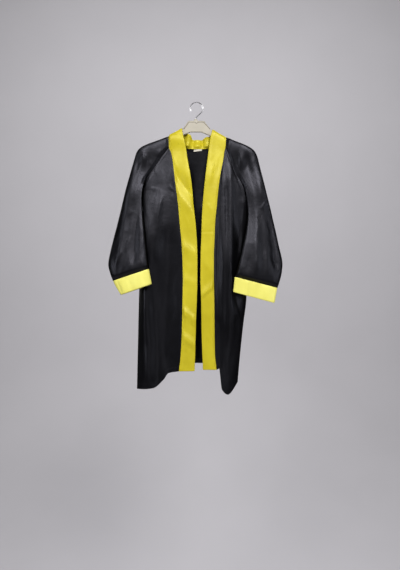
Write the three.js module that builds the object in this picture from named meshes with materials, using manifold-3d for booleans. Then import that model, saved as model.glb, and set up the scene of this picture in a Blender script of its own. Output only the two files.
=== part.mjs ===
import * as THREE from 'three';
import { mergeVertices } from 'three/addons/utils/BufferGeometryUtils.js';
import Module from 'manifold-3d';

// Graduation gown on a hanger, in millimetres. +Z is up and the front faces -Y.
// The origin is the top of the hook's inside, where a rod carries the hanger.
// Right and left are as the gown is worn: the right side is at -X, the left side at +X.

// Cloth thickness, seams and the roundness of each section
const SATIN_WALL = 1.6;
const BAND_WALL = 2.2;
const LABEL_WALL = 1;
const SEAM_GAP = 0.3;
const SEAT_GAP = 0.8;
const ARMPIT_GAP = 0.6;
const ARMPIT_GAP_LENGTH = 0.1;
const ARMPIT_GAP_POWER = 8;
const RAGLAN_POWER = 5;
const SECTION_POWER = 2.4;
const HEM_POWER = 4;
const COLUMN_POWER = 1.35;
const SLOPE_STEP = 0.004;
const BAND_TILT_SHARE = 0.35;

// Half depth of the body of the gown at each height
const BODY_DEPTH = [
  { z: -110, front: 11, back: 11 },
  { z: -155, front: 11, back: 13 },
  { z: -200, front: 14, back: 16 },
  { z: -260, front: 19, back: 19 },
  { z: -365, front: 23, back: 21 },
  { z: -450, front: 24, back: 22 },
  { z: -600, front: 26, back: 25 },
  { z: -800, front: 29, back: 28 },
  { z: -960, front: 31, back: 30 },
];

// Depth of each sleeve along its length: v is 0 at the neck, 1 at the armpit, 2 at the cuff.
// The edges' y shows how far the sleeve leans forward over the side of the body.
const RIGHT_SLEEVE_DEPTH = [
  { v: 0, front: 11, back: 11, outerY: 0, underarmY: 0 },
  { v: 0.3, front: 13, back: 12.5, outerY: 0, underarmY: 0 },
  { v: 0.6, front: 16, back: 13, outerY: 0, underarmY: 0 },
  { v: 1, front: 17, back: 13, outerY: 0, underarmY: 0 },
  { v: 1.05, front: 17, back: 12.5, outerY: -1, underarmY: -10.5 },
  { v: 1.12, front: 17, back: 12, outerY: -3, underarmY: -17 },
  { v: 1.3, front: 18, back: 11, outerY: -8, underarmY: -27 },
  { v: 1.6, front: 20, back: 11, outerY: -14, underarmY: -36 },
  { v: 1.9, front: 21, back: 14, outerY: -20, underarmY: -41 },
  { v: 2, front: 19, back: 14, outerY: -22, underarmY: -42 },
];
const LEFT_SLEEVE_DEPTH = [
  { v: 0, front: 11, back: 11, outerY: 0, underarmY: 0 },
  { v: 0.3, front: 13, back: 12.5, outerY: 0, underarmY: 0 },
  { v: 0.6, front: 16, back: 13, outerY: 0, underarmY: 0 },
  { v: 1, front: 17, back: 13, outerY: 0, underarmY: 0 },
  { v: 1.05, front: 17, back: 12, outerY: -1, underarmY: -10.5 },
  { v: 1.12, front: 17, back: 11, outerY: -3, underarmY: -17 },
  { v: 1.3, front: 17, back: 10, outerY: -10, underarmY: -28 },
  { v: 1.6, front: 17, back: 9, outerY: -18, underarmY: -39 },
  { v: 1.9, front: 14, back: 9, outerY: -26, underarmY: -42 },
  { v: 2, front: 11, back: 8, outerY: -28, underarmY: -42 },
];

// The right half. Every x is as it lies in the whole gown.
const RIGHT = {
  out: -1,
  ridge: { inner: { x: -48.5, z: -85.5 }, outer: { x: -92.5, z: -111.5 } },
  bandFold: { innerZ: -118, outerZ: -150 },
  bandEdges: [
    { z: -85.5, inner: -48.5, outer: -92.5 },
    { z: -111.5, inner: -44.5, outer: -92.5 },
    { z: -150, inner: -35.5, outer: -90.5 },
    { z: -166, inner: -33, outer: -84 },
    { z: -190, inner: -29.5, outer: -79 },
    { z: -242, inner: -20, outer: -72.5 },
    { z: -295, inner: -14, outer: -66 },
    { z: -348, inner: -9, outer: -59.5 },
    { z: -400, inner: -3.5, outer: -55 },
    { z: -453, inner: 0.5, outer: -50 },
    { z: -506, inner: 2.5, outer: -46.5 },
    { z: -580, inner: 2.5, outer: -44.5 },
    { z: -664, inner: 0, outer: -46 },
    { z: -743, inner: -2.5, outer: -47.5 },
    { z: -822, inner: -4.5, outer: -51 },
    { z: -880, inner: -6.5, outer: -57 },
  ],
  shoulderAndSleeve: [
    { v: 0, x: -92.5, z: -111.5 },
    { v: 0.2, x: -138, z: -130 },
    { v: 0.37, x: -178, z: -147.5 },
    { v: 0.45, x: -194, z: -160 },
    { v: 0.53, x: -203.5, z: -178 },
    { v: 0.7, x: -216, z: -215 },
    { v: 1, x: -230, z: -270 },
    { v: 1.25, x: -245.5, z: -350 },
    { v: 1.45, x: -261, z: -412 },
    { v: 1.7, x: -280, z: -492 },
    { v: 1.85, x: -287, z: -535 },
    { v: 1.94, x: -281, z: -563 },
    { v: 2, x: -271.5, z: -588.5 },
  ],
  frontRaglan: [
    { v: 0, x: -90.5, z: -150 },
    { v: 0.25, x: -117, z: -187 },
    { v: 0.5, x: -143, z: -226 },
    { v: 0.8, x: -169, z: -263 },
    { v: 1, x: -184, z: -292 },
  ],
  backRaglan: [
    { v: 0, x: -62, z: -136 },
    { v: 0.3, x: -98, z: -182 },
    { v: 0.6, x: -138, z: -232 },
    { v: 1, x: -184, z: -292 },
  ],
  underarm: [
    { v: 1, x: -184, z: -292 },
    { v: 1.05, x: -181.5, z: -305 },
    { v: 1.15, x: -176.5, z: -331 },
    { v: 1.5, x: -168, z: -420 },
    { v: 2, x: -152.5, z: -549.5 },
  ],
  bodySide: [
    { z: -292, x: -184 },
    { z: -312, x: -182.5 },
    { z: -350, x: -182.5 },
    { z: -450, x: -183 },
    { z: -560, x: -186 },
    { z: -614, x: -189 },
    { z: -780, x: -193 },
    { z: -942, x: -196.5 },
  ],
  frontHem: [
    { across: 0, z: -881 },
    { across: 0.24, z: -887 },
    { across: 0.36, z: -909 },
    { across: 0.6, z: -936 },
    { across: 1, z: -942 },
  ],
  sleeveDepth: RIGHT_SLEEVE_DEPTH,
  cuff: {
    outer: { x: -246, y: -23, z: -633 },
    inner: { x: -144, y: -42, z: -598 },
    front: 17,
    back: 16,
  },
};

// The left half
const LEFT = {
  out: 1,
  ridge: { inner: { x: 53, z: -90.5 }, outer: { x: 98.5, z: -115 } },
  bandFold: { innerZ: -122, outerZ: -150 },
  bandEdges: [
    { z: -90.5, inner: 53, outer: 98.5 },
    { z: -115, inner: 47, outer: 98.5 },
    { z: -150, inner: 41.5, outer: 95 },
    { z: -166, inner: 39.5, outer: 91.5 },
    { z: -190, inner: 36.5, outer: 88 },
    { z: -242, inner: 30, outer: 78 },
    { z: -295, inner: 24.5, outer: 71 },
    { z: -348, inner: 20, outer: 66 },
    { z: -400, inner: 17.5, outer: 61 },
    { z: -453, inner: 16, outer: 59 },
    { z: -506, inner: 14, outer: 57 },
    { z: -580, inner: 13.5, outer: 57 },
    { z: -664, inner: 16, outer: 58.5 },
    { z: -743, inner: 17, outer: 59 },
    { z: -822, inner: 19.5, outer: 60 },
    { z: -876, inner: 21.5, outer: 65.5 },
  ],
  shoulderAndSleeve: [
    { v: 0, x: 98.5, z: -115 },
    { v: 0.18, x: 138, z: -133 },
    { v: 0.34, x: 174, z: -149 },
    { v: 0.41, x: 190, z: -161 },
    { v: 0.49, x: 200.5, z: -181 },
    { v: 0.7, x: 216, z: -240 },
    { v: 1, x: 238, z: -328 },
    { v: 1.25, x: 253.5, z: -398 },
    { v: 1.5, x: 268, z: -469 },
    { v: 1.72, x: 280, z: -531 },
    { v: 1.86, x: 277, z: -560 },
    { v: 2, x: 263, z: -611 },
  ],
  frontRaglan: [
    { v: 0, x: 95, z: -150 },
    { v: 0.2, x: 111, z: -190 },
    { v: 0.45, x: 128, z: -235 },
    { v: 0.7, x: 153, z: -280 },
    { v: 0.92, x: 172, z: -335 },
    { v: 1, x: 176, z: -354 },
  ],
  backRaglan: [
    { v: 0, x: 71, z: -136 },
    { v: 0.3, x: 103, z: -196 },
    { v: 0.6, x: 139, z: -266 },
    { v: 1, x: 176, z: -354 },
  ],
  underarm: [
    { v: 1, x: 176, z: -354 },
    { v: 1.05, x: 173.2, z: -365 },
    { v: 1.15, x: 167.5, z: -387 },
    { v: 1.5, x: 151, z: -464 },
    { v: 2, x: 122.5, z: -575 },
  ],
  bodySide: [
    { z: -354, x: 176 },
    { z: -374, x: 174 },
    { z: -420, x: 171 },
    { z: -520, x: 166 },
    { z: -637, x: 165 },
    { z: -730, x: 154.5 },
    { z: -828, x: 144 },
    { z: -920, x: 136 },
  ],
  frontHem: [
    { across: 0, z: -876 },
    { across: 0.13, z: -872 },
    { across: 0.24, z: -940 },
    { across: 0.52, z: -957 },
    { across: 1, z: -920 },
  ],
  sleeveDepth: LEFT_SLEEVE_DEPTH,
  cuff: {
    outer: { x: 252.5, y: -29, z: -659 },
    inner: { x: 118, y: -42, z: -623 },
    front: 11,
    back: 8,
  },
};

// Back of the neck: the seam's dip below the raglan tops, and the neckband's free edge, which
// stands up in a fold on each side and slumps in the middle
const NECK_DIP = 15;
const NECK_POWER = 3;
const NECK_EDGE = [
  { across: -1, z: -85.5, y: 15 },
  { across: -0.72, z: -99, y: 13 },
  { across: -0.47, z: -105, y: 10 },
  { across: -0.32, z: -118, y: 16 },
  { across: 0, z: -121, y: 18 },
  { across: 0.3, z: -120, y: 17 },
  { across: 0.52, z: -114, y: 13 },
  { across: 0.8, z: -109, y: 15 },
  { across: 1, z: -90.5, y: 15 },
];

// The back's hem, from the right side at -1 to the left side at 1
const BACK_HEM = [
  { across: -1, z: -942 },
  { across: -0.75, z: -926 },
  { across: -0.5, z: -884 },
  { across: -0.2, z: -868 },
  { across: 0.2, z: -862 },
  { across: 0.62, z: -866 },
  { across: 0.82, z: -890 },
  { across: 1, z: -920 },
];

// The largest folds. Each runs from (x, z) to (toX, toZ) as a soft ridge, or a trough where
// its height is negative.
const RIGHT_FRONT_FOLDS = [
  { x: -116, z: -270, toX: -150, toZ: -560, width: 17, height: 5 },
  { x: -164, z: -520, toX: -158, toZ: -960, width: 18, height: 7 },
  { x: -92, z: -400, toX: -100, toZ: -900, width: 20, height: -6 },
  { x: -128, z: -700, toX: -124, toZ: -960, width: 11, height: -4 },
];
const LEFT_FRONT_FOLDS = [
  { x: 92, z: -200, toX: 88, toZ: -760, width: 9, height: 5 },
  { x: 112, z: -190, toX: 112, toZ: -980, width: 10, height: 7 },
  { x: 101, z: -230, toX: 100, toZ: -620, width: 7, height: -3.5 },
  { x: 74, z: -700, toX: 76, toZ: -900, width: 8, height: -5 },
  { x: 136, z: -380, toX: 130, toZ: -700, width: 10, height: -4 },
];
const BACK_FOLDS = [
  { x: -120, z: -230, toX: -138, toZ: -980, width: 17, height: 6 },
  { x: -70, z: -380, toX: -82, toZ: -920, width: 15, height: -5 },
  { x: -26, z: -190, toX: -34, toZ: -900, width: 17, height: 5 },
  { x: 26, z: -300, toX: 14, toZ: -900, width: 14, height: -5 },
  { x: 72, z: -220, toX: 58, toZ: -900, width: 16, height: 6 },
  { x: 118, z: -330, toX: 96, toZ: -940, width: 14, height: -4 },
];
const RIGHT_SLEEVE_FOLDS = [
  { x: -166, z: -150, toX: -182, toZ: -235, width: 9, height: 3 },
  { x: -208, z: -240, toX: -262, toZ: -560, width: 15, height: 4 },
  { x: -190, z: -330, toX: -204, toZ: -560, width: 13, height: -4 },
];
const LEFT_SLEEVE_FOLDS = [
  { x: 143, z: -150, toX: 150, toZ: -240, width: 8, height: 3.5 },
  { x: 163, z: -150, toX: 176, toZ: -270, width: 8, height: -3 },
  { x: 206, z: -290, toX: 190, toZ: -590, width: 15, height: 4 },
  { x: 238, z: -380, toX: 262, toZ: -590, width: 13, height: -4 },
];
const FOLD_FADE = 70;
const SEAM_FADE = 0.14;
const CUFF_FADE = 0.15;

// How finely each piece is divided
const SEAM_ROWS = [0.02, 0.1, 0.2, 0.3, 0.4, 0.5, 0.6, 0.7, 0.8, 0.9, 0.96, 1];
const SLEEVE_ROWS = [1.05, 1.12, 1.21, 1.32, 1.44, 1.56, 1.68, 1.78, 1.86, 1.93, 2];
const BODY_ROWS = [1.05, 1.11, 1.18, 1.26, 1.34, 1.42, 1.5, 1.58, 1.66, 1.74, 1.81, 1.87, 1.92, 1.96, 2];
const FRONT_COLUMNS = 13;
const BACK_COLUMNS = 24;
const SLEEVE_COLUMNS = 26;
const BAND_COLUMNS = 4;
const CUFF_ROWS = 3;

// Label sewn in under the back of the neck
const LABEL = { x: 4.2, width: 27, top: -152.3, height: 6.5, tilt: 0.08, columns: 6, rows: 2 };

// Hanger
const HANGER_LAST_ROW = 0.3;
const HANGER_END_FALL = 1.3;
const HANGER_END_ROUND = { reach: 7, drop: 8 };
const HANGER_HALF_DEPTH = 3.2;
const HANGER_BEVEL = 2.2;
const HANGER_ARM_HEIGHT = 14;
const HANGER_BOSS = {
  leftX: -27,
  rightX: 25,
  topZ: -60,
  leftFootX: -44.5,
  rightFootX: 49,
  footLift: 3,
};
const HANGER_NUB = { footHalf: 7, topHalf: 4, topZ: -53.5 };
const HANGER_BRIDGE = { leftX: -21, rightX: 16, z: -97.5 };

// Hook: a wire ring open on one side, on a shank that stands in the hanger
const HOOK = { wire: 3.2, innerRadius: 19, startAngle: -45, endAngle: 205, arcSteps: 22, sides: 8 };
const KNEE_STEP = { x: 2, z: 4 };
const SHANK = { x: -2.35, seatZ: -68, kneeZ: -51.5, socketGap: 0.3 };

const { lerp, degToRad, clamp } = THREE.MathUtils;

// Reads a column between the rows of a table, along a curve that never overshoots
function readTable(rows, along, column, at) {
  const last = rows.length - 1;
  const direction = Math.sign(rows[last][along] - rows[0][along]);
  const ends = [rows[0][along], rows[last][along]];
  const place = clamp(at, Math.min(...ends), Math.max(...ends));
  const within = rows.slice(1, last).filter((row) => direction * place > direction * row[along]);
  const i = within.length;
  const step = (k) => (rows[k + 1][column] - rows[k][column]) / (rows[k + 1][along] - rows[k][along]);
  const slope = (k) => {
    if (k === 0 || k === last) return step(k === 0 ? 0 : last - 1);
    const before = step(k - 1);
    const after = step(k);
    return before * after <= 0 ? 0 : (2 * before * after) / (before + after);
  };
  const span = rows[i + 1][along] - rows[i][along];
  const t = (place - rows[i][along]) / span;
  const from = rows[i][column] * (1 + 2 * t) * (1 - t) ** 2 + span * slope(i) * t * (1 - t) ** 2;
  const to = rows[i + 1][column] * t * t * (3 - 2 * t) - span * slope(i + 1) * t * t * (1 - t);
  return from + to;
}

const placeAt = (rows, along, at) => ({
  x: readTable(rows, along, 'x', at),
  z: readTable(rows, along, 'z', at),
});

// Height of the folds at one place of a panel
function foldHeight(folds, x, z) {
  return folds.reduce((sum, fold) => {
    const along = (z - fold.z) / (fold.toZ - fold.z);
    const length = Math.abs(fold.toZ - fold.z);
    const fromEnd = Math.min(along, 1 - along) * length;
    const fade = THREE.MathUtils.smoothstep(fromEnd, 0, Math.min(FOLD_FADE, length / 2));
    const offset = (x - lerp(fold.x, fold.toX, along)) / fold.width;
    return sum + fold.height * fade * Math.exp(-offset * offset);
  }, 0);
}

// Fades folds out beside a seam; place runs from 0 to 1 across the panel
const seamFade = (place) => THREE.MathUtils.smoothstep(Math.min(place, 1 - place), 0, SEAM_FADE);

// Depth at the raglan seams, which falls to nothing at the armpit
function raglanDepth(side, v, face, bodyDepth) {
  if (v >= 1) return 0;
  const sleeveDepth = readTable(side.sleeveDepth, 'v', face, v);
  return Math.min(bodyDepth, sleeveDepth) * (1 - v ** RAGLAN_POWER) ** (1 / SECTION_POWER);
}

// A section is flat in its middle at 0 and turns in to nothing at 1 and -1. Its depth there,
// and how far out a seam of some share of the full depth lies:
const sectionDepth = (place, power = SECTION_POWER) =>
  (1 - Math.min(1, Math.abs(place)) ** power) ** (1 / power);
const sectionReach = (seamDepth, fullDepth) => sectionDepth(Math.min(0.999, seamDepth / fullDepth));

// Spreads the columns so that they lie closer where the section turns
const towardsSide = (place) => 1 - (1 - place) ** COLUMN_POWER;
const towardsBothEnds = (place) => {
  const fromEnd = 0.5 * (1 - Math.abs(2 * place - 1)) ** COLUMN_POWER;
  return place < 0.5 ? fromEnd : 1 - fromEnd;
};

// Where one side of the body ends at v: on the raglan seam, then on the side seam
function bodyEdge(side, v, face) {
  if (v <= 1) return placeAt(face === 'front' ? side.frontRaglan : side.backRaglan, 'v', v);
  const armpit = side.bodySide[0];
  const hem = side.bodySide[side.bodySide.length - 1];
  const z = lerp(armpit.z, hem.z, v - 1);
  return { x: readTable(side.bodySide, 'z', 'x', z), z };
}

// A front: across runs from the band at 0 to the raglan or side seam at 1
function frontSurface(side, folds) {
  const hemAtBand = side.frontHem[0].z;
  const hemAtSide = side.frontHem[side.frontHem.length - 1].z;
  return (v, across) => {
    const edge = bodyEdge(side, v, 'front');
    const below = Math.max(0, v - 1);
    const bandZ = v <= 1 ? edge.z : lerp(side.bodySide[0].z, hemAtBand, below);
    const depth = readTable(BODY_DEPTH, 'z', 'front', edge.z);
    const reach = sectionReach(raglanDepth(side, v, 'front', depth), depth);
    const share = towardsSide(across);
    const hemDrop = readTable(side.frontHem, 'across', 'z', share) - lerp(hemAtBand, hemAtSide, share);
    const x = lerp(readTable(side.bandEdges, 'z', 'outer', bandZ), edge.x, share);
    const z = lerp(bandZ, edge.z, share) + hemDrop * below ** HEM_POWER;
    const fold = foldHeight(folds, x, z) * seamFade(share);
    return new THREE.Vector3(x, -depth * sectionDepth(share * reach) - fold, z);
  };
}

// The back: across runs from -1 at the right side to 1 at the left side
function backSurface(v, across) {
  const rightEdge = bodyEdge(RIGHT, v, 'back');
  const leftEdge = bodyEdge(LEFT, v, 'back');
  const middle = { x: (rightEdge.x + leftEdge.x) / 2, z: (rightEdge.z + leftEdge.z) / 2 };
  const side = across < 0 ? RIGHT : LEFT;
  const edge = across < 0 ? rightEdge : leftEdge;
  const depth = readTable(BODY_DEPTH, 'z', 'back', middle.z - NECK_DIP);
  const reach = sectionReach(raglanDepth(side, v, 'back', depth), depth);
  const share = towardsSide(Math.abs(across));
  const neckDip = NECK_DIP * (1 - share ** SECTION_POWER) * Math.max(0, 1 - v) ** 2;
  const hemMiddleZ = (BACK_HEM[0].z + BACK_HEM[BACK_HEM.length - 1].z) / 2;
  const straightHem = lerp(hemMiddleZ, bodyEdge(side, 2, 'back').z, share);
  const hemDrop = readTable(BACK_HEM, 'across', 'z', share * side.out) - straightHem;
  const x = lerp(middle.x, edge.x, share);
  const z = lerp(middle.z, edge.z, share) - neckDip + hemDrop * Math.max(0, v - 1) ** HEM_POWER;
  const fold = foldHeight(BACK_FOLDS, x, z) * seamFade((1 + share) / 2);
  return new THREE.Vector3(x, depth * sectionDepth(share * reach) + fold, z);
}

// A sleeve: around runs from the front seam at 0, over the outer fold at 0.5, to the back seam
// at 1. Above the armpit the section is open towards the body; below it the section closes.
function sleeveSurface(side, folds) {
  return (v, around) => {
    const face = around < 0.5 ? 'front' : 'back';
    const facing = around < 0.5 ? -1 : 1;
    const outer = placeAt(side.shoulderAndSleeve, 'v', v);
    const inner = v >= 1 ? placeAt(side.underarm, 'v', v) : bodyEdge(side, v, face);
    const above = v ** ARMPIT_GAP_POWER;
    const below = Math.max(0, 1 - (v - 1) / ARMPIT_GAP_LENGTH);
    inner.x += side.out * ARMPIT_GAP * (v < 1 ? above : below);
    const depth = readTable(side.sleeveDepth, 'v', face, v);
    const bodyDepth = readTable(BODY_DEPTH, 'z', face, face === 'front' ? inner.z : inner.z - NECK_DIP);
    const reach = v >= 1 ? 1 : sectionReach(raglanDepth(side, v, face, bodyDepth), depth);
    const share = towardsBothEnds(1 - Math.abs(2 * around - 1));
    const place = lerp(-reach, 1, share);
    const underarmY = readTable(side.sleeveDepth, 'v', 'underarmY', v);
    const outerY = readTable(side.sleeveDepth, 'v', 'outerY', v);
    const x = lerp(inner.x, outer.x, share);
    const z = lerp(inner.z, outer.z, share);
    const fold = foldHeight(folds, x, z) * seamFade(share) * Math.min(1, (2 - v) / CUFF_FADE);
    const y = lerp(underarmY, outerY, (place + 1) / 2) + facing * (depth * sectionDepth(place) + fold);
    return new THREE.Vector3(x, y, z);
  };
}

// Samples a surface, with the direction into the garment at each point
function sampleSurface(surface, rows, columns, inwardSign) {
  const before = (place, list) => Math.max(list[0], place - SLOPE_STEP);
  const after = (place, list) => Math.min(list[list.length - 1], place + SLOPE_STEP);
  return rows.map((v) => columns.map((u) => {
    const alongRow = surface(v, after(u, columns)).sub(surface(v, before(u, columns)));
    const downColumn = surface(after(v, rows), u).sub(surface(before(v, rows), u));
    const inward = alongRow.cross(downColumn).normalize().multiplyScalar(inwardSign);
    return { point: surface(v, u), inward };
  }));
}

// Gives a grid of points the direction across it, from its own neighbours
function withOwnSlopes(points, inwardSign) {
  return points.map((row, i) => row.map((point, j) => {
    const left = row[Math.max(0, j - 1)];
    const right = row[Math.min(row.length - 1, j + 1)];
    const above = points[Math.max(0, i - 1)][j];
    const below = points[Math.min(points.length - 1, i + 1)][j];
    const alongRow = new THREE.Vector3().subVectors(right, left);
    const downColumn = new THREE.Vector3().subVectors(below, above);
    const inward = alongRow.cross(downColumn).normalize().multiplyScalar(inwardSign);
    return { point: point.clone(), inward };
  }));
}

const evenly = (count, from = 0, to = 1) =>
  Array.from({ length: count + 1 }, (_, i) => lerp(from, to, i / count));

// Draws an edge back by half a seam's gap, towards the next row or column
function drawBack(grid, edge) {
  const lastRow = grid.length - 1;
  const lastColumn = grid[0].length - 1;
  const pairs = {
    top: grid[0].map((_, j) => [grid[0][j], grid[1][j]]),
    bottom: grid[lastRow].map((_, j) => [grid[lastRow][j], grid[lastRow - 1][j]]),
    first: grid.map((row) => [row[0], row[1]]),
    last: grid.map((row) => [row[lastColumn], row[lastColumn - 1]]),
  };
  const moved = pairs[edge].map(([at, next]) => {
    const towards = new THREE.Vector3().subVectors(next.point, at.point).normalize();
    return at.point.clone().addScaledVector(towards, SEAM_GAP / 2);
  });
  pairs[edge].forEach(([at], k) => at.point.copy(moved[k]));
}

// Closes a grid into a wall of cloth. Rows from loopFrom on are closed round; the rows above
// them stay open along their two ends.
function wallGeometry(grid, thickness, loopFrom = Infinity) {
  const columns = grid[0].length;
  const rows = grid.length;
  const vertices = [];
  grid.flat().forEach(({ point }) => vertices.push(point));
  grid.flat().forEach(({ point, inward }) => {
    vertices.push(point.clone().addScaledVector(inward, thickness));
  });
  const layer = rows * columns;
  const outer = (i, j) => i * columns + (i >= loopFrom && j === columns - 1 ? 0 : j);
  const inner = (i, j) => layer + outer(i, j);
  const triangles = [];
  const quad = (a, b, c, d) => {
    triangles.push(a, b, c);
    triangles.push(a, c, d);
  };
  for (let i = 0; i < rows - 1; i += 1) {
    for (let j = 0; j < columns - 1; j += 1) {
      quad(outer(i, j), outer(i + 1, j), outer(i + 1, j + 1), outer(i, j + 1));
      quad(inner(i, j), inner(i, j + 1), inner(i + 1, j + 1), inner(i + 1, j));
    }
    if (i < loopFrom) {
      quad(outer(i, 0), inner(i, 0), inner(i + 1, 0), outer(i + 1, 0));
      const end = columns - 1;
      quad(outer(i, end), outer(i + 1, end), inner(i + 1, end), inner(i, end));
    }
  }
  for (let j = 0; j < columns - 1; j += 1) {
    quad(outer(0, j), outer(0, j + 1), inner(0, j + 1), inner(0, j));
    const end = rows - 1;
    quad(outer(end, j), inner(end, j), inner(end, j + 1), outer(end, j + 1));
  }
  return solidGeometry(vertices, triangles);
}

// A closed geometry whose faces point out, whichever way its rows run
function solidGeometry(vertices, triangles) {
  const volume = new THREE.Vector3();
  let signedVolume = 0;
  for (let k = 0; k < triangles.length; k += 3) {
    const [a, b, c] = [0, 1, 2].map((corner) => vertices[triangles[k + corner]]);
    signedVolume += volume.crossVectors(b, c).dot(a);
  }
  const facingOut = signedVolume < 0 ? triangles.slice().reverse() : triangles;
  const used = [...new Set(facingOut)];
  const place = new Map(used.map((vertex, k) => [vertex, k]));
  const geometry = new THREE.BufferGeometry();
  const positions = used.flatMap((vertex) => vertices[vertex].toArray());
  geometry.setAttribute('position', new THREE.Float32BufferAttribute(positions, 3));
  geometry.setIndex(facingOut.map((vertex) => place.get(vertex)));
  geometry.computeVertexNormals();
  return geometry;
}

// Materials
const FINISHES = {
  blackSatin: { color: 0x1b1b1f, roughness: 0.45 },
  yellowSatin: { color: 0xe0d14c, roughness: 0.5 },
  cuffSatin: { color: 0xf3ec84, roughness: 0.5 },
  labelTape: { color: 0xf2efe6, roughness: 0.8 },
  plastic: { color: 0xdcd5c3, roughness: 0.35 },
  steel: { color: 0xb9bbbd, roughness: 0.3, metalness: 1 },
};

const gown = new THREE.Group();

function addPiece(name, geometry, finish) {
  const mesh = new THREE.Mesh(geometry, new THREE.MeshStandardMaterial(FINISHES[finish]));
  mesh.name = name;
  gown.add(mesh);
}

// Fronts, each from the tip beside the band down to the hem
function makeFront(side, folds) {
  const columns = evenly(FRONT_COLUMNS);
  const rows = [...SEAM_ROWS, ...BODY_ROWS];
  const grid = sampleSurface(frontSurface(side, folds), rows, columns, side.out);
  ['first', 'last', 'top'].forEach((edge) => drawBack(grid, edge));
  return grid;
}

// The back, from the neckband down to the hem
function makeBack() {
  const columns = evenly(BACK_COLUMNS, -1, 1);
  return sampleSurface(backSurface, [0, ...SEAM_ROWS, ...BODY_ROWS], columns, -1);
}

function makeSleeve(side, folds) {
  const rows = [0, ...SEAM_ROWS, ...SLEEVE_ROWS];
  return sampleSurface(sleeveSurface(side, folds), rows, evenly(SLEEVE_COLUMNS), side.out);
}

// A cuff carries the sleeve's last ring on to its own hem ring
function makeCuff(side, sleeve) {
  const { outer, inner, front, back } = side.cuff;
  const top = sleeve[sleeve.length - 1];
  const hem = evenly(SLEEVE_COLUMNS).map((around) => {
    const share = towardsBothEnds(1 - Math.abs(2 * around - 1));
    const depth = around < 0.5 ? -front : back;
    const y = lerp(inner.y, outer.y, share) + depth * sectionDepth(lerp(-1, 1, share));
    return new THREE.Vector3(lerp(inner.x, outer.x, share), y, lerp(inner.z, outer.z, share));
  });
  return evenly(CUFF_ROWS).map((down) => top.map(({ point, inward }, j) => ({
    point: point.clone().lerp(hem[j], down),
    inward: inward.clone(),
  })));
}

// The way into the garment at the fold over a shoulder, square to the ridge
function belowRidge({ ridge, out }) {
  const rise = ridge.inner.z - ridge.outer.z;
  const run = Math.abs(ridge.outer.x - ridge.inner.x);
  return new THREE.Vector3(-out * rise, 0, -run).normalize();
}

// A front band: over the shoulder from its ridge, then down beside the front to the hem.
// Each row runs from the free edge to the edge that the sleeve or front is sewn to.
function makeBand(side, sleeve, front) {
  const middle = SLEEVE_COLUMNS / 2;
  const overShoulder = sleeve[0].slice(0, middle + 1).reverse();
  const besideFront = front.map((row) => row[0]);
  const seam = [...overShoulder, ...besideFront];
  const { innerZ, outerZ } = side.bandFold;
  const hemInnerZ = side.bandEdges[side.bandEdges.length - 1].z;
  const points = seam.map(({ point }) => {
    const overFold = point.z > outerZ;
    const climb = (point.z - outerZ) / (side.ridge.outer.z - outerZ);
    const straighten = clamp((point.z - outerZ) / (hemInnerZ - outerZ) / BAND_TILT_SHARE, 0, 1);
    const tilt = (innerZ - outerZ) * (1 - straighten) ** 2;
    const z = overFold ? lerp(innerZ, side.ridge.inner.z, climb) : Math.max(hemInnerZ, point.z + tilt);
    const free = new THREE.Vector3(readTable(side.bandEdges, 'z', 'inner', z), point.y, z);
    return evenly(BAND_COLUMNS).map((share) => free.clone().lerp(point, share));
  });
  const grid = withOwnSlopes(points, side.out);
  grid[0].forEach(({ inward }) => inward.copy(belowRidge(side)));
  grid.forEach((row, i) => row[BAND_COLUMNS].inward.copy(seam[i].inward));
  return grid;
}

// The neckband: from ridge to ridge behind the neck, its lower edge on the sleeves and the back
function makeNeckband(rightSleeve, back, leftSleeve) {
  const middle = SLEEVE_COLUMNS / 2;
  const seam = [
    ...rightSleeve[0].slice(middle),
    ...back[0].slice(1, -1),
    ...leftSleeve[0].slice(middle).reverse(),
  ];
  const span = LEFT.ridge.outer.x - RIGHT.ridge.outer.x;
  const points = seam.map(({ point }) => {
    const across = clamp((2 * (point.x - RIGHT.ridge.outer.x)) / span - 1, -1, 1);
    const x = lerp(RIGHT.ridge.inner.x, LEFT.ridge.inner.x, (across + 1) / 2);
    const y = readTable(NECK_EDGE, 'across', 'y', across) * sectionDepth(across, NECK_POWER);
    const free = new THREE.Vector3(x, y, readTable(NECK_EDGE, 'across', 'z', across));
    return evenly(BAND_COLUMNS).map((share) => free.clone().lerp(point, share));
  });
  const grid = withOwnSlopes(points, 1);
  grid[0].forEach(({ inward }) => inward.copy(belowRidge(RIGHT)));
  grid[grid.length - 1].forEach(({ inward }) => inward.copy(belowRidge(LEFT)));
  grid.forEach((row, i) => row[BAND_COLUMNS].inward.copy(seam[i].inward));
  return grid;
}

// The label hangs from the neck seam, on the inside of the back
function makeLabel() {
  const clearance = SATIN_WALL + SEAM_GAP;
  const points = evenly(LABEL.rows).map((down) => evenly(LABEL.columns).map((share) => {
    const x = LABEL.x + (share - 0.5) * LABEL.width;
    const z = LABEL.top - down * LABEL.height + (x - LABEL.x) * LABEL.tilt;
    const depth = readTable(BODY_DEPTH, 'z', 'back', z) - clearance;
    return new THREE.Vector3(x, depth, z);
  }));
  return withOwnSlopes(points, -1);
}

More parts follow.
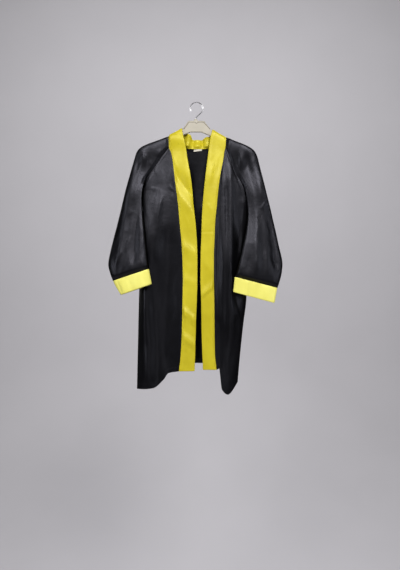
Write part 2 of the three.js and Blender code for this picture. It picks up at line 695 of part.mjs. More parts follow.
// The hanger: its arms follow the shoulders just under the cloth
function hangerGeometry() {
  const under = (SATIN_WALL + BAND_WALL) / 2 + SEAT_GAP + SEAM_GAP;
  const arm = (side) => {
    const along = [0, ...SEAM_ROWS].filter((v) => v <= HANGER_LAST_ROW);
    const shoulder = along.map((v) => {
      const { x, z } = placeAt(side.shoulderAndSleeve, 'v', v);
      return new THREE.Vector2(x, z - under - HANGER_END_FALL * (v / HANGER_LAST_ROW) ** 2);
    });
    return [new THREE.Vector2(side.ridge.inner.x, side.ridge.inner.z - under - SEAM_GAP), ...shoulder];
  };
  const rightArm = arm(RIGHT);
  const leftArm = arm(LEFT);
  const lower = (points) => points.slice(1).map(({ x, y }) => new THREE.Vector2(x, y - HANGER_ARM_HEIGHT));
  const boss = HANGER_BOSS;
  const armEnd = (points, side) => {
    const tip = points[points.length - 1];
    return new THREE.Vector2(tip.x + side.out * HANGER_END_ROUND.reach, tip.y - HANGER_END_ROUND.drop);
  };
  const outline = [
    new THREE.Vector2(boss.leftX, boss.topZ),
    new THREE.Vector2(SHANK.x - HANGER_NUB.footHalf, boss.topZ),
    new THREE.Vector2(SHANK.x - HANGER_NUB.topHalf, HANGER_NUB.topZ),
    new THREE.Vector2(SHANK.x + HANGER_NUB.topHalf, HANGER_NUB.topZ),
    new THREE.Vector2(SHANK.x + HANGER_NUB.footHalf, boss.topZ),
    new THREE.Vector2(boss.rightX, boss.topZ),
    new THREE.Vector2(boss.rightFootX, leftArm[0].y + boss.footLift),
    ...leftArm,
    armEnd(leftArm, LEFT),
    ...lower(leftArm).reverse(),
    new THREE.Vector2(HANGER_BRIDGE.rightX, HANGER_BRIDGE.z),
    new THREE.Vector2(HANGER_BRIDGE.leftX, HANGER_BRIDGE.z),
    ...lower(rightArm),
    armEnd(rightArm, RIGHT),
    ...rightArm.slice().reverse(),
    new THREE.Vector2(boss.leftFootX, rightArm[0].y + boss.footLift),
  ];
  const geometry = new THREE.ExtrudeGeometry(new THREE.Shape(outline), {
    depth: 2 * (HANGER_HALF_DEPTH - HANGER_BEVEL),
    bevelEnabled: true,
    bevelThickness: HANGER_BEVEL,
    bevelSize: HANGER_BEVEL,
    bevelOffset: -HANGER_BEVEL,
    bevelSegments: 2,
  });
  geometry.translate(0, 0, HANGER_BEVEL - HANGER_HALF_DEPTH);
  geometry.rotateX(Math.PI / 2);
  return geometry;
}

// Helpers for cutting the socket
const MERGE_DISTANCE = 0.001;

function positionsOnly(geometry) {
  const bare = geometry.clone();
  bare.deleteAttribute('normal');
  bare.deleteAttribute('uv');
  return mergeVertices(bare, MERGE_DISTANCE);
}

const wasm = await Module();
wasm.setup();

function toManifold(geometry) {
  const bare = positionsOnly(geometry);
  return new wasm.Manifold(new wasm.Mesh({
    numProp: 3,
    vertProperties: Float32Array.from(bare.attributes.position.array),
    triVerts: Uint32Array.from(bare.index.array),
  }));
}

function fromManifold(solid) {
  const mesh = solid.getMesh();
  const geometry = new THREE.BufferGeometry();
  geometry.setAttribute('position', new THREE.Float32BufferAttribute(mesh.vertProperties, 3));
  geometry.setIndex(Array.from(mesh.triVerts));
  geometry.computeVertexNormals();
  return geometry;
}

// The hanger with the socket that the shank stands in
function socketedHanger() {
  const radius = HOOK.wire / 2 + SHANK.socketGap;
  const depth = HANGER_NUB.topZ - SHANK.seatZ + SHANK.socketGap;
  const socket = new THREE.CylinderGeometry(radius, radius, 2 * depth, 2 * HOOK.sides);
  socket.rotateX(Math.PI / 2);
  socket.translate(SHANK.x, 0, HANGER_NUB.topZ);
  return fromManifold(toManifold(hangerGeometry()).subtract(toManifold(socket)));
}

// The hook's wire, from the foot of its shank round to its free end
function hookGeometry() {
  const radius = HOOK.innerRadius + HOOK.wire / 2;
  const centre = new THREE.Vector3(0, 0, -HOOK.innerRadius);
  const bend = evenly(HOOK.arcSteps, HOOK.startAngle, HOOK.endAngle).map((degrees) => new THREE.Vector3(
    radius * Math.cos(degToRad(degrees)),
    0,
    radius * Math.sin(degToRad(degrees)),
  ).add(centre));
  const shank = [
    new THREE.Vector3(SHANK.x, 0, SHANK.seatZ),
    new THREE.Vector3(SHANK.x, 0, SHANK.kneeZ),
    new THREE.Vector3(SHANK.x + KNEE_STEP.x, 0, SHANK.kneeZ + KNEE_STEP.z),
  ];
  const path = [...shank, ...bend];
  const section = evenly(HOOK.sides - 1, 0, 2 * Math.PI * (1 - 1 / HOOK.sides));
  const rings = path.map((point, k) => {
    const ahead = path[Math.min(k + 1, path.length - 1)];
    const behind = path[Math.max(k - 1, 0)];
    const along = new THREE.Vector3().subVectors(ahead, behind).normalize();
    const sideways = new THREE.Vector3(0, 1, 0);
    const outwards = new THREE.Vector3().crossVectors(sideways, along);
    return section.map((angle) => point.clone()
      .addScaledVector(outwards, (HOOK.wire / 2) * Math.cos(angle))
      .addScaledVector(sideways, (HOOK.wire / 2) * Math.sin(angle)));
  });
  const vertices = [...rings.flat(), path[0], path[path.length - 1]];
  const triangles = [];
  const at = (k, side) => k * HOOK.sides + (side % HOOK.sides);
  rings.slice(1).forEach((_, k) => section.forEach((__, side) => {
    triangles.push(at(k, side), at(k, side + 1), at(k + 1, side + 1));
    triangles.push(at(k, side), at(k + 1, side + 1), at(k + 1, side));
  }));
  const foot = rings.length * HOOK.sides;
  section.forEach((_, side) => {
    triangles.push(foot, at(0, side + 1), at(0, side));
    triangles.push(foot + 1, at(rings.length - 1, side), at(rings.length - 1, side + 1));
  });
  return solidGeometry(vertices, triangles);
}

const rightSleeve = makeSleeve(RIGHT, RIGHT_SLEEVE_FOLDS);
const leftSleeve = makeSleeve(LEFT, LEFT_SLEEVE_FOLDS);
const rightFront = makeFront(RIGHT, RIGHT_FRONT_FOLDS);
const leftFront = makeFront(LEFT, LEFT_FRONT_FOLDS);
const back = makeBack();
const closedFrom = SEAM_ROWS.length;

const rightBand = makeBand(RIGHT, rightSleeve, rightFront);
const leftBand = makeBand(LEFT, leftSleeve, leftFront);
const neckband = makeNeckband(rightSleeve, back, leftSleeve);
const rightCuff = makeCuff(RIGHT, rightSleeve);
const leftCuff = makeCuff(LEFT, leftSleeve);

[rightBand, leftBand].forEach((grid) => ['top', 'last'].forEach((edge) => drawBack(grid, edge)));
['top', 'bottom', 'last'].forEach((edge) => drawBack(neckband, edge));
['top', 'first', 'last'].forEach((edge) => drawBack(back, edge));
[rightCuff, leftCuff].forEach((grid) => drawBack(grid, 'top'));
[rightSleeve, leftSleeve].forEach((grid) => {
  ['top', 'bottom', 'first', 'last'].forEach((edge) => drawBack(grid, edge));
});

addPiece('back', wallGeometry(back, SATIN_WALL), 'blackSatin');
addPiece('front_right', wallGeometry(rightFront, SATIN_WALL), 'blackSatin');
addPiece('front_left', wallGeometry(leftFront, SATIN_WALL), 'blackSatin');
addPiece('sleeve_right', wallGeometry(rightSleeve, SATIN_WALL, closedFrom), 'blackSatin');
addPiece('sleeve_left', wallGeometry(leftSleeve, SATIN_WALL, closedFrom), 'blackSatin');
addPiece('band_right', wallGeometry(rightBand, BAND_WALL), 'yellowSatin');
addPiece('band_left', wallGeometry(leftBand, BAND_WALL), 'yellowSatin');
addPiece('band_neck', wallGeometry(neckband, BAND_WALL), 'yellowSatin');
addPiece('cuff_right', wallGeometry(rightCuff, BAND_WALL, 0), 'cuffSatin');
addPiece('cuff_left', wallGeometry(leftCuff, BAND_WALL, 0), 'cuffSatin');
addPiece('label', wallGeometry(makeLabel(), LABEL_WALL), 'labelTape');
addPiece('hanger', socketedHanger(), 'plastic');
addPiece('hook', hookGeometry(), 'steel');

export default gown;
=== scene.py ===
import math

import bpy
import numpy as np
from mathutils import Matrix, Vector


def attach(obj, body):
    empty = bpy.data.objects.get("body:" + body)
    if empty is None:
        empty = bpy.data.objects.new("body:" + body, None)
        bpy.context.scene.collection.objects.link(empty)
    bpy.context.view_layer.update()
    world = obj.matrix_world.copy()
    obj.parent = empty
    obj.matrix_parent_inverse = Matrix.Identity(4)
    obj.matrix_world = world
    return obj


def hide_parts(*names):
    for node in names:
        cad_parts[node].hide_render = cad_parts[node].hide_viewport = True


# Graduation gown on a hanger. Sizes are in millimetres until a mesh is made in metres.
# The front faces -Y, and right and left are as the gown is worn.

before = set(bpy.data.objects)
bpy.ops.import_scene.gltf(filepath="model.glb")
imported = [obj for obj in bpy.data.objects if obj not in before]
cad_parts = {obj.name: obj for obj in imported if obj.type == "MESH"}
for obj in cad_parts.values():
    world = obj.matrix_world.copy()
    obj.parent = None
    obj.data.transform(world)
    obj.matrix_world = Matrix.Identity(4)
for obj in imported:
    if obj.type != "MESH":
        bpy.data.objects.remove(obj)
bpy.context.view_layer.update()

MM = 0.001

# Cloth and the gaps at its seams
SATIN_WALL = 0.9
BAND_WALL = 1.8
LABEL_WALL = 0.6
RIM_ROUNDING = 0.45
SEAM_GAP = 0.3
MOST_OF_STEP = 0.4
ARMPIT_GAP = 0.6
ARMPIT_GAP_LENGTH = 0.1
ARMPIT_GAP_POWER = 8

# Powers of the rounded sections, and of the places of rows and columns
RAGLAN_POWER = 5
SECTION_POWER = 2.4
SLEEVE_EDGE_POWER = 4
SLEEVE_FRONT_POWER = 3.2
NECK_POWER = 3
HEM_POWER = 4
COLUMN_POWER = 1.35
MOST_OF_DEPTH = 0.999

# The neck's dip, the bands' slant, and how far in folds and creases fade
NECK_DIP = 15
BAND_TILT_SHARE = 0.35
FOLD_FADE = 70
SEAM_FADE = 0.14
CUFF_FADE = 0.15
CREASE_FADE = 0.42

# Tables of the gown's form, as in the part's source


def table(columns, *rows):
    values = np.array(rows, float)
    return {name: values[:, k] for k, name in enumerate(columns.split())}


def tables(columns, **groups):
    return {name: table(columns, *rows) for name, rows in groups.items()}


def each_row(rows):
    return zip(*rows.values())


def read(rows, along, column, at):
    """A column of a table, along a curve that never overshoots."""
    xs, ys = rows[along], rows[column]
    if xs[-1] < xs[0]:
        xs, ys = xs[::-1], ys[::-1]
    step = np.diff(ys) / np.diff(xs)
    slope = np.zeros_like(ys)
    slope[0], slope[-1] = step[0], step[-1]
    for k in range(1, len(ys) - 1):
        if step[k - 1] * step[k] > 0:
            slope[k] = 2 * step[k - 1] * step[k] / (step[k - 1] + step[k])
    place = np.clip(at, xs[0], xs[-1])
    i = np.clip(np.searchsorted(xs, place, side="left") - 1, 0, len(xs) - 2)
    span = xs[i + 1] - xs[i]
    t = (place - xs[i]) / span
    start = ys[i] * (1 + 2 * t) * (1 - t) ** 2 + span * slope[i] * t * (1 - t) ** 2
    end = ys[i + 1] * t * t * (3 - 2 * t) - span * slope[i + 1] * t * t * (1 - t)
    return start + end


BODY_DEPTH = table(
    "z front back",
    (-110, 11, 11), (-155, 11, 13), (-200, 14, 16), (-260, 19, 19), (-365, 23, 21),
    (-450, 24, 22), (-600, 26, 25), (-800, 29, 28), (-960, 31, 30),
)
BACK_HEM = table(
    "across z",
    (-1, -942), (-0.75, -926), (-0.5, -884), (-0.2, -868), (0.2, -862), (0.62, -866),
    (0.82, -890), (1, -920),
)
NECK_EDGE = table(
    "across z y",
    (-1, -85.5, 15), (-0.72, -99, 13), (-0.47, -105, 10), (-0.32, -118, 16), (0, -121, 18),
    (0.3, -120, 17), (0.52, -114, 13), (0.8, -109, 15), (1, -90.5, 15),
)

RIGHT = {
    "out": -1,
    "ridge": {"inner": (-48.5, -85.5), "outer": (-92.5, -111.5)},
    "fold_z": {"inner": -118, "outer": -150},
    "band": table(
        "z inner outer",
        (-85.5, -48.5, -92.5), (-111.5, -44.5, -92.5), (-150, -35.5, -90.5),
        (-166, -33, -84), (-190, -29.5, -79), (-242, -20, -72.5), (-295, -14, -66),
        (-348, -9, -59.5), (-400, -3.5, -55), (-453, 0.5, -50), (-506, 2.5, -46.5),
        (-580, 2.5, -44.5), (-664, 0, -46), (-743, -2.5, -47.5), (-822, -4.5, -51),
        (-880, -6.5, -57),
    ),
    "outer": table(
        "v x z",
        (0, -92.5, -111.5), (0.2, -138, -130), (0.37, -178, -147.5), (0.45, -194, -160),
        (0.53, -203.5, -178), (0.7, -216, -215), (1, -230, -270), (1.25, -245.5, -350),
        (1.45, -261, -412), (1.7, -280, -492), (1.85, -287, -535), (1.94, -281, -563),
        (2, -271.5, -588.5),
    ),
    "front_raglan": table(
        "v x z",
        (0, -90.5, -150), (0.25, -117, -187), (0.5, -143, -226), (0.8, -169, -263),
        (1, -184, -292),
    ),
    "back_raglan": table(
        "v x z", (0, -62, -136), (0.3, -98, -182), (0.6, -138, -232), (1, -184, -292)
    ),
    "underarm": table(
        "v x z",
        (1, -184, -292), (1.05, -181, -305), (1.15, -175.5, -331), (1.5, -167.5, -420),
        (2, -152.5, -549.5),
    ),
    "side": table(
        "z x",
        (-292, -184), (-312, -182.5), (-350, -182.5), (-450, -183), (-560, -186),
        (-614, -189), (-780, -193), (-942, -196.5),
    ),
    "hem": table("across z", (0, -881), (0.24, -887), (0.36, -909), (0.6, -936), (1, -942)),
    "sleeve": table(
        "v front back outer_y underarm_y",
        (0, 11, 11, 0, 0), (0.3, 13, 12.5, 0, 0), (0.6, 16, 13, 0, 0), (1, 17, 13, 0, 0),
        (1.05, 17, 12.5, -1, -8), (1.12, 17, 12, -3, -14.5), (1.3, 18, 11, -8, -27),
        (1.6, 20, 11, -14, -36), (1.9, 21, 14, -20, -41), (2, 19, 14, -22, -42),
    ),
    "cuff": {"outer": (-246, -23, -633), "inner": (-144, -42, -598), "front": 17, "back": 16},
}
LEFT = {
    "out": 1,
    "ridge": {"inner": (53, -90.5), "outer": (98.5, -115)},
    "fold_z": {"inner": -122, "outer": -150},
    "band": table(
        "z inner outer",
        (-90.5, 53, 98.5), (-115, 47, 98.5), (-150, 41.5, 95), (-166, 39.5, 91.5),
        (-190, 36.5, 88), (-242, 30, 78), (-295, 24.5, 71), (-348, 20, 66),
        (-400, 17.5, 61), (-453, 16, 59), (-506, 14, 57), (-580, 13.5, 57),
        (-664, 16, 58.5), (-743, 17, 59), (-822, 19.5, 60), (-876, 21.5, 65.5),
    ),
    "outer": table(
        "v x z",
        (0, 98.5, -115), (0.18, 138, -133), (0.34, 174, -149), (0.41, 190, -161),
        (0.49, 200.5, -181), (0.7, 216, -240), (1, 238, -328), (1.25, 253.5, -398),
        (1.5, 268, -469), (1.72, 280, -531), (1.86, 277, -560), (2, 263, -611),
    ),
    "front_raglan": table(
        "v x z",
        (0, 95, -150), (0.2, 111, -190), (0.45, 128, -235), (0.7, 153, -280),
        (0.92, 172, -335), (1, 176, -354),
    ),
    "back_raglan": table(
        "v x z", (0, 71, -136), (0.3, 103, -196), (0.6, 139, -266), (1, 176, -354)
    ),
    "underarm": table(
        "v x z",
        (1, 176, -354), (1.05, 172.5, -365), (1.15, 166.5, -387), (1.5, 150.5, -464),
        (2, 122.5, -575),
    ),
    "side": table(
        "z x",
        (-354, 176), (-374, 174), (-420, 171), (-520, 166), (-637, 165), (-730, 154.5),
        (-828, 144), (-920, 136),
    ),
    "hem": table("across z", (0, -876), (0.13, -872), (0.24, -940), (0.52, -957), (1, -920)),
    "sleeve": table(
        "v front back outer_y underarm_y",
        (0, 11, 11, 0, 0), (0.3, 13, 12.5, 0, 0), (0.6, 16, 13, 0, 0), (1, 17, 13, 0, 0),
        (1.05, 17, 12, -1, -8), (1.12, 17, 11, -3, -14.5), (1.3, 17, 10, -10, -28),
        (1.6, 17, 9, -18, -39), (1.9, 14, 9, -26, -42), (2, 11, 8, -28, -42),
    ),
    "cuff": {"outer": (252.5, -29, -659), "inner": (118, -42, -623), "front": 11, "back": 8},
}

# The largest folds, near those of the solids: from (x, z) to (to_x, to_z)
FOLDS = tables(
    "x z to_x to_z width height",
    front_right=[
        (-116, -270, -150, -560, 20, 3.5), (-164, -520, -158, -960, 22, 5.5),
        (-92, -400, -100, -900, 24, -5), (-128, -700, -124, -960, 15, -3),
    ],
    front_left=[
        (87, -200, 84, -760, 10, 2.5), (109, -190, 110, -980, 13, 4),
        (98, -230, 97, -620, 7, -1.6), (74, -700, 76, -900, 10, -3.5),
        (136, -380, 130, -700, 12, -3),
    ],
    back=[
        (-120, -230, -138, -980, 17, 6), (-70, -380, -82, -920, 15, -5),
        (-26, -190, -34, -900, 17, 5), (26, -300, 14, -900, 14, -5), (72, -220, 58, -900, 16, 6),
        (118, -330, 96, -940, 14, -4),
    ],
    sleeve_right=[
        (-166, -150, -182, -235, 9, 3), (-208, -240, -262, -560, 15, 4),
        (-190, -330, -204, -560, 13, -4),
    ],
    sleeve_left=[
        (143, -150, 150, -240, 8, 3.5), (163, -150, 176, -270, 8, -3),
        (206, -290, 190, -590, 15, 4), (238, -380, 262, -590, 13, -4),
    ],
)

# Finer creases. Each runs from (x, z) to (to_x, to_z), bowed sideways by bow at its middle, and
# is steeper on one side where it leans. A negative height is a trough, but for the neckband,
# which is seen from its inner side.
CREASES = tables(
    "x z to_x to_z width height bow lean",
    front_right=[
        (-158, -286, -108, -298, 7, 1.6, -4, 0.4), (-108, -304, -126, -410, 6, 2.2, 3, 0.5),
        (-100, -300, -112, -420, 7, -2.0, 2, 0), (-90, -268, -72, -296, 4, 1.2, 2, 0.3),
        (-84, -286, -70, -312, 4, -1.0, 0, 0), (-148, -360, -172, -520, 8, 1.8, -5, -0.3),
        (-170, -600, -176, -720, 9, 2.6, -5, 0.4), (-172, -706, -150, -800, 9, 2.2, 4, 0.3),
        (-150, -790, -156, -930, 9, 2.4, 3, 0), (-134, -600, -128, -900, 8, -2.4, 4, 0),
        (-60, -620, -60, -700, 5, 1.4, 0, 0.3), (-78, -520, -70, -780, 7, -1.4, -3, 0),
        (-66, -240, -92, -350, 5, -1.2, 4, 0), (-182, -330, -160, -420, 6, -1.4, -4, 0.3),
        (-186, -480, -182, -640, 6, 1.2, 0, 0), (-110, -470, -106, -640, 8, 1.6, -3, 0),
        (-92, -760, -84, -880, 6, 1.6, 2, 0.2), (-112, -820, -110, -930, 6, 1.4, -2, 0),
        (-140, -200, -122, -250, 5, 1.2, 3, 0), (-150, -430, -118, -452, 8, 0.9, 3, 0),
    ],
    front_left=[
        (124, -228, 152, -316, 5, 2.4, 3, 0.4), (150, -312, 172, -352, 5, 1.8, 2, 0.4),
        (116, -240, 118, -520, 5, 1.6, 2, 0.3), (90, -250, 88, -520, 4.5, 1.4, -2, -0.3),
        (104, -360, 103, -530, 5, -2.0, 0, 0), (139, -370, 138, -530, 6, -2.2, 0, 0),
        (152, -400, 150, -560, 6, 1.4, 2, 0), (120, -636, 150, -730, 7, 3.0, 3, 0.5),
        (128, -690, 140, -800, 6, -1.8, 2, 0), (88, -650, 89, -745, 5, 2.0, 0, 0.3),
        (70, -740, 72, -880, 5, -1.6, 0, 0), (100, -760, 104, -950, 7, 1.8, 3, 0.2),
        (122, -800, 122, -930, 5, 1.4, -2, 0), (90, -820, 92, -940, 4, -1.2, 0, 0),
        (72, -420, 74, -600, 5, -1.0, 0, 0), (80, -330, 78, -460, 5, 1.0, 0, 0),
        (156, -560, 148, -640, 5, -1.2, 0, 0),
    ],
    back=[
        (-70, -175, -100, -300, 7, 1.6, 5, 0.3), (-46, -165, -60, -330, 6, -1.3, 3, 0),
        (0, -170, 4, -360, 8, 1.4, 3, 0.2), (38, -170, 52, -340, 7, 1.5, -3, 0.3),
        (66, -180, 96, -310, 6, -1.2, -4, 0), (-160, -330, -150, -560, 8, 1.8, 4, 0.4),
        (-100, -420, -112, -700, 7, 1.7, -4, 0.2), (-52, -460, -60, -760, 7, 1.6, 3, 0.3),
        (-8, -420, -14, -700, 8, -1.5, 4, 0), (40, -400, 34, -720, 7, 1.7, -4, -0.3),
        (92, -430, 80, -760, 7, -1.5, 3, 0), (140, -420, 126, -640, 7, 1.7, -3, 0.3),
        (-170, -620, -174, -880, 8, 1.6, 3, 0), (-126, -700, -120, -930, 6, -1.5, 0, 0),
        (-90, -680, -100, -880, 6, 1.5, 2, 0.3), (-48, -720, -44, -860, 6, -1.3, 0, 0),
        (0, -660, -6, -850, 7, 1.6, 3, 0.2), (44, -700, 38, -850, 6, -1.4, -2, 0),
        (78, -640, 70, -850, 6, 1.6, 2, 0.3), (110, -700, 104, -890, 6, 1.4, -2, 0),
        (-150, -400, -120, -425, 9, 1.0, 4, 0.3), (130, -380, 96, -404, 9, 1.0, -4, 0.3),
        (-20, -560, 20, -548, 9, 0.7, 3, 0),
    ],
    sleeve_right=[
        (-165, -168, -166, -232, 5, 1.8, 1, 0.3), (-147, -190, -148, -216, 3.5, 1.4, 2, 0.3),
        (-115, -154, -126, -186, 4.5, 2.0, 1, 0.4), (-106, -166, -122, -192, 4, -1.8, -1, 0),
        (-186, -176, -198, -250, 6, -1.4, 2, 0), (-200, -260, -206, -340, 6, 1.5, -2, 0.3),
        (-216, -300, -232, -400, 6, -1.4, 3, 0), (-190, -330, -210, -440, 6, 1.6, -3, 0.3),
        (-210, -440, -226, -510, 6, 2.4, 3, 0.4), (-232, -480, -264, -556, 6, 2.4, 4, 0.3),
        (-186, -470, -200, -560, 6, -2.0, 3, 0), (-244, -430, -270, -520, 5, -1.3, 3, 0),
        (-172, -440, -186, -520, 5, 1.4, -2, 0), (-216, -500, -238, -576, 5, -1.4, -2, 0),
        (-196, -360, -228, -382, 7, 1.2, 3, 0.3), (-176, -500, -172, -556, 4, 1.2, 0, 0),
        (-250, -500, -262, -580, 4, 1.2, 2, 0),
    ],
    sleeve_left=[
        (143, -166, 145, -242, 4.5, 1.8, 1, 0.4), (162, -166, 166, -306, 5, -1.8, 2, 0),
        (182, -176, 184, -240, 7, 1.8, -1, 0), (206, -358, 228, -322, 5, 2.2, 2, 0.4),
        (200, -250, 214, -330, 6, 1.4, -2, 0.2), (186, -300, 194, -380, 6, -1.4, -2, 0),
        (222, -380, 238, -450, 6, 1.6, 2, 0.3), (238, -486, 264, -556, 6, -2.4, 3, 0),
        (168, -500, 158, -570, 7, -1.8, -2, 0), (196, -400, 186, -500, 6, 1.6, 3, 0.3),
        (210, -430, 206, -540, 6, -1.3, 2, 0), (226, -470, 232, -590, 6, 1.8, 3, 0.3),
        (180, -440, 168, -520, 5, 1.2, 2, 0), (150, -520, 140, -580, 5, 1.4, 1, 0),
        (188, -540, 180, -600, 5, 1.4, 1, 0), (246, -560, 250, -610, 4, 1.2, 0, 0),
    ],
    band_right=[
        (-38, 60, -22, -380, 20, 4.5, 0, 0), (-130, -160, 60, -405, 17, -5, 0, 0),
        (-130, -160, 60, -405, 6, -1.3, 0, 0), (-260, -93, 160, -158, 22, 4.5, 0, 0),
        (-75, -655, 15, -735, 13, 5.5, 0, 0.2), (-80, -742, 30, -822, 14, 5.5, 0, 0),
        (-100, -440, 40, -530, 16, 3.5, 0, 0), (-100, -560, 40, -612, 14, 2.5, 0, 0),
        (-130, -214, 80, -485, 20, 3.5, 0, 0.3), (-84, -120, -50, -1100, 6, 1.6, 0, 0),
        (-78, -176, -62, -236, 6, 1.4, -2, 0.2), (-40, -360, -20, -420, 6, 1.0, 2, 0),
        (-24, -690, -14, -750, 7, -1.4, 0, 0), (-36, -680, -34, -760, 5, 1.4, -2, 0),
        (-8, -690, -8, -750, 4, 1.2, 2, 0), (-40, -520, -6, -560, 8, 0.8, 3, 0),
        (-46, -800, -16, -830, 8, 0.8, -3, 0),
    ],
    band_left=[
        (-20, -431, 96, -427, 2, -0.9, 0, 0), (-20, -436, 96, -432, 3, 0.5, 0, 0),
        (-12, -660, 88, -574, 9, 4.5, 2, -0.5), (44, 60, 26, -400, 22, 5, 0, 0),
        (66, -240, 64, -1100, 20, 3.5, 0, 0), (60, -190, 44, -280, 8, 1.2, 3, 0),
        (82, -170, 70, -250, 6, -1.0, 2, 0), (30, -330, 52, -370, 7, 0.9, -2, 0),
        (24, -520, 50, -560, 7, 0.9, 2, 0), (30, -760, 52, -800, 7, 1.0, -2, 0),
    ],
    band_neck=[
        (-18, -60, -38, -190, 7, -6.0, 0, 0), (-34, -60, -52, -190, 7, 3.0, 0, 0),
        (-8, -60, -14, -190, 6, 3.5, 0, 0), (3, -60, 3, -190, 9, -3.5, 0, 0),
        (17, -60, 21, -190, 6, 4.0, 0, 0), (31, -60, 37, -190, 10, -5.5, 0, 0),
        (-110, -141, 110, -141, 11, -4, 0, 0),
    ],
    cuff_right=[
        (-272, -545, -226, -665, 4, -1.3, 0, 0), (-258, -560, -214, -665, 8, 1.2, 0, 0),
        (-222, -560, -196, -650, 8, -0.9, 3, 0), (-186, -530, -170, -640, 9, 1.2, 2, 0),
    ],
    cuff_left=[
        (142, -540, 136, -670, 8, -1.0, 0, 0), (170, -550, 158, -680, 9, 1.3, 2, 0),
        (206, -560, 192, -690, 9, -0.9, 2, 0), (234, -570, 226, -700, 9, 1.2, -2, 0),
    ],
)

# Broad rises of the cloth, centred on (x, z)
SWELLS = tables(
    "x z reach_x reach_z height",
    front_right=[
        (-166, -460, 52, 140, 15), (-174, -440, 26, 130, 5), (-170, -690, 22, 70, 8),
        (-166, -900, 22, 110, 6), (-100, -620, 34, 160, -4),
    ],
    front_left=[
        (104, -540, 36, 150, 17), (118, -722, 22, 60, 5), (86, -870, 18, 90, 3),
    ],
    back=[
        (-110, -460, 60, 120, 6), (70, -440, 70, 130, 6), (-20, -720, 60, 120, 5),
        (110, -760, 50, 120, 4), (-140, -820, 40, 100, 4),
    ],
    sleeve_right=[
        (-232, -600, 75, 90, 12.5), (-208, -285, 60, 70, 9), (-160, -140, 60, 60, 9),
        (-176, -575, 34, 90, 4),
    ],
    sleeve_left=[
        (198, -625, 75, 90, 12.5), (215, -285, 60, 70, 10), (160, -140, 60, 60, 10),
        (146, -600, 34, 90, 5),
    ],
)

# Small undulations, laid over each other, each with a step added to its piece's seed
UNDULATIONS = tables(
    "size_x size_z height slant seed_step",
    satin=[(60, 210, 1.6, 0.12, 2), (26, 130, 0.6, 0.15, 0), (12, 44, 0.25, -0.25, 1)],
    band=[(30, 64, 0.5, 0, 0)],
    cuff=[(16, 60, 0.7, 0, 0), (9, 26, 0.3, 0, 1)],
)

NOISE_CELLS = 64
NOISE_START = 1000


def smoothstep(value, low, high):
    t = np.clip((value - low) / (high - low), 0, 1)
    return t * t * (3 - 2 * t)


def smoother(t):
    return t * t * t * (t * (t * 6 - 15) + 10)


def lerp(a, b, t):
    return a + (b - a) * t


def bell(distance, width):
    return np.exp(-((distance / width) ** 2))


def fold_height(folds, x, z):
    total = np.zeros(np.broadcast(x, z).shape)
    for fold_x, fold_z, to_x, to_z, width, height in each_row(folds):
        along = (z - fold_z) / (to_z - fold_z)
        length = abs(to_z - fold_z)
        from_end = np.minimum(along, 1 - along) * length
        fade = smoothstep(from_end, 0, min(FOLD_FADE, length / 2))
        total += height * fade * bell(x - lerp(fold_x, to_x, along), width)
    return total


def crease_height(creases, x, z, widen=1.0):
    total = np.zeros(np.broadcast(x, z).shape)
    for crease_x, crease_z, to_x, to_z, width, height, bow, lean in each_row(creases):
        dx, dz = to_x - crease_x, to_z - crease_z
        length = math.hypot(dx, dz)
        t = ((x - crease_x) * dx + (z - crease_z) * dz) / length**2
        side = ((x - crease_x) * dz - (z - crease_z) * dx) / length
        side = side - bow * 4 * t * (1 - t)
        fade = smoothstep(np.minimum(t, 1 - t), 0, CREASE_FADE)
        total += height * fade * bell(side, widen * width * (1 + lean * np.sign(side)))
    return total


def swell_height(swells, x, z):
    total = np.zeros(np.broadcast(x, z).shape)
    for swell_x, swell_z, reach_x, reach_z, height in each_row(swells):
        total += height * bell(x - swell_x, reach_x) * bell(z - swell_z, reach_z)
    return total


def soft_noise(x, z, size_x, size_z, seed):
    """Smooth noise between -1 and 1, in cells of size_x by size_z."""
    lattice = np.random.default_rng(seed).uniform(-1, 1, (NOISE_CELLS, NOISE_CELLS))
    u, w = x / size_x + NOISE_START, z / size_z + NOISE_START
    i, j = np.floor(u).astype(int), np.floor(w).astype(int)
    s, t = smoother(u - i), smoother(w - j)
    i, next_i = i % NOISE_CELLS, (i + 1) % NOISE_CELLS
    j, next_j = j % NOISE_CELLS, (j + 1) % NOISE_CELLS
    low = lerp(lattice[i, j], lattice[next_i, j], s)
    high = lerp(lattice[i, next_j], lattice[next_i, next_j], s)
    return lerp(low, high, t)


def undulation(rows, x, z, seed):
    total = np.zeros(np.broadcast(x, z).shape)
    for size_x, size_z, height, slant, seed_step in each_row(rows):
        total += height * soft_noise(x + slant * z, z, size_x, size_z, seed + int(seed_step))
    return total


# The gown's surfaces: the solids' outer faces, with the sleeves' fronts a little flatter


def section_depth(place, power=SECTION_POWER):
    return (1 - np.minimum(1, np.abs(place)) ** power) ** (1 / power)


def sleeve_section(place, power=SECTION_POWER):
    """A sleeve is folded flat, so its outer half has the sharper edge."""
    inner = section_depth(np.minimum(place, 0), power)
    outer = section_depth(np.maximum(place, 0), SLEEVE_EDGE_POWER)
    return np.where(place < 0, inner, outer)


def section_reach(seam_depth, full_depth, power=SECTION_POWER):
    return section_depth(np.minimum(MOST_OF_DEPTH, seam_depth / full_depth), power)


def towards_side(place):
    return 1 - (1 - place) ** COLUMN_POWER


def towards_both_ends(place):
    from_end = 0.5 * (1 - np.abs(2 * place - 1)) ** COLUMN_POWER
    return np.where(place < 0.5, from_end, 1 - from_end)


def seam_fade(place):
    return smoothstep(np.minimum(place, 1 - place), 0, SEAM_FADE)


def raglan_depth(side, v, face, body_depth):
    sleeve_depth = read(side["sleeve"], "v", face, v)
    closing = (1 - np.minimum(v, 1) ** RAGLAN_POWER) ** (1 / SECTION_POWER)
    return np.where(v >= 1, 0, np.minimum(body_depth, sleeve_depth) * closing)


def line_at(rows, v):
    return read(rows, "v", "x", v), read(rows, "v", "z", v)


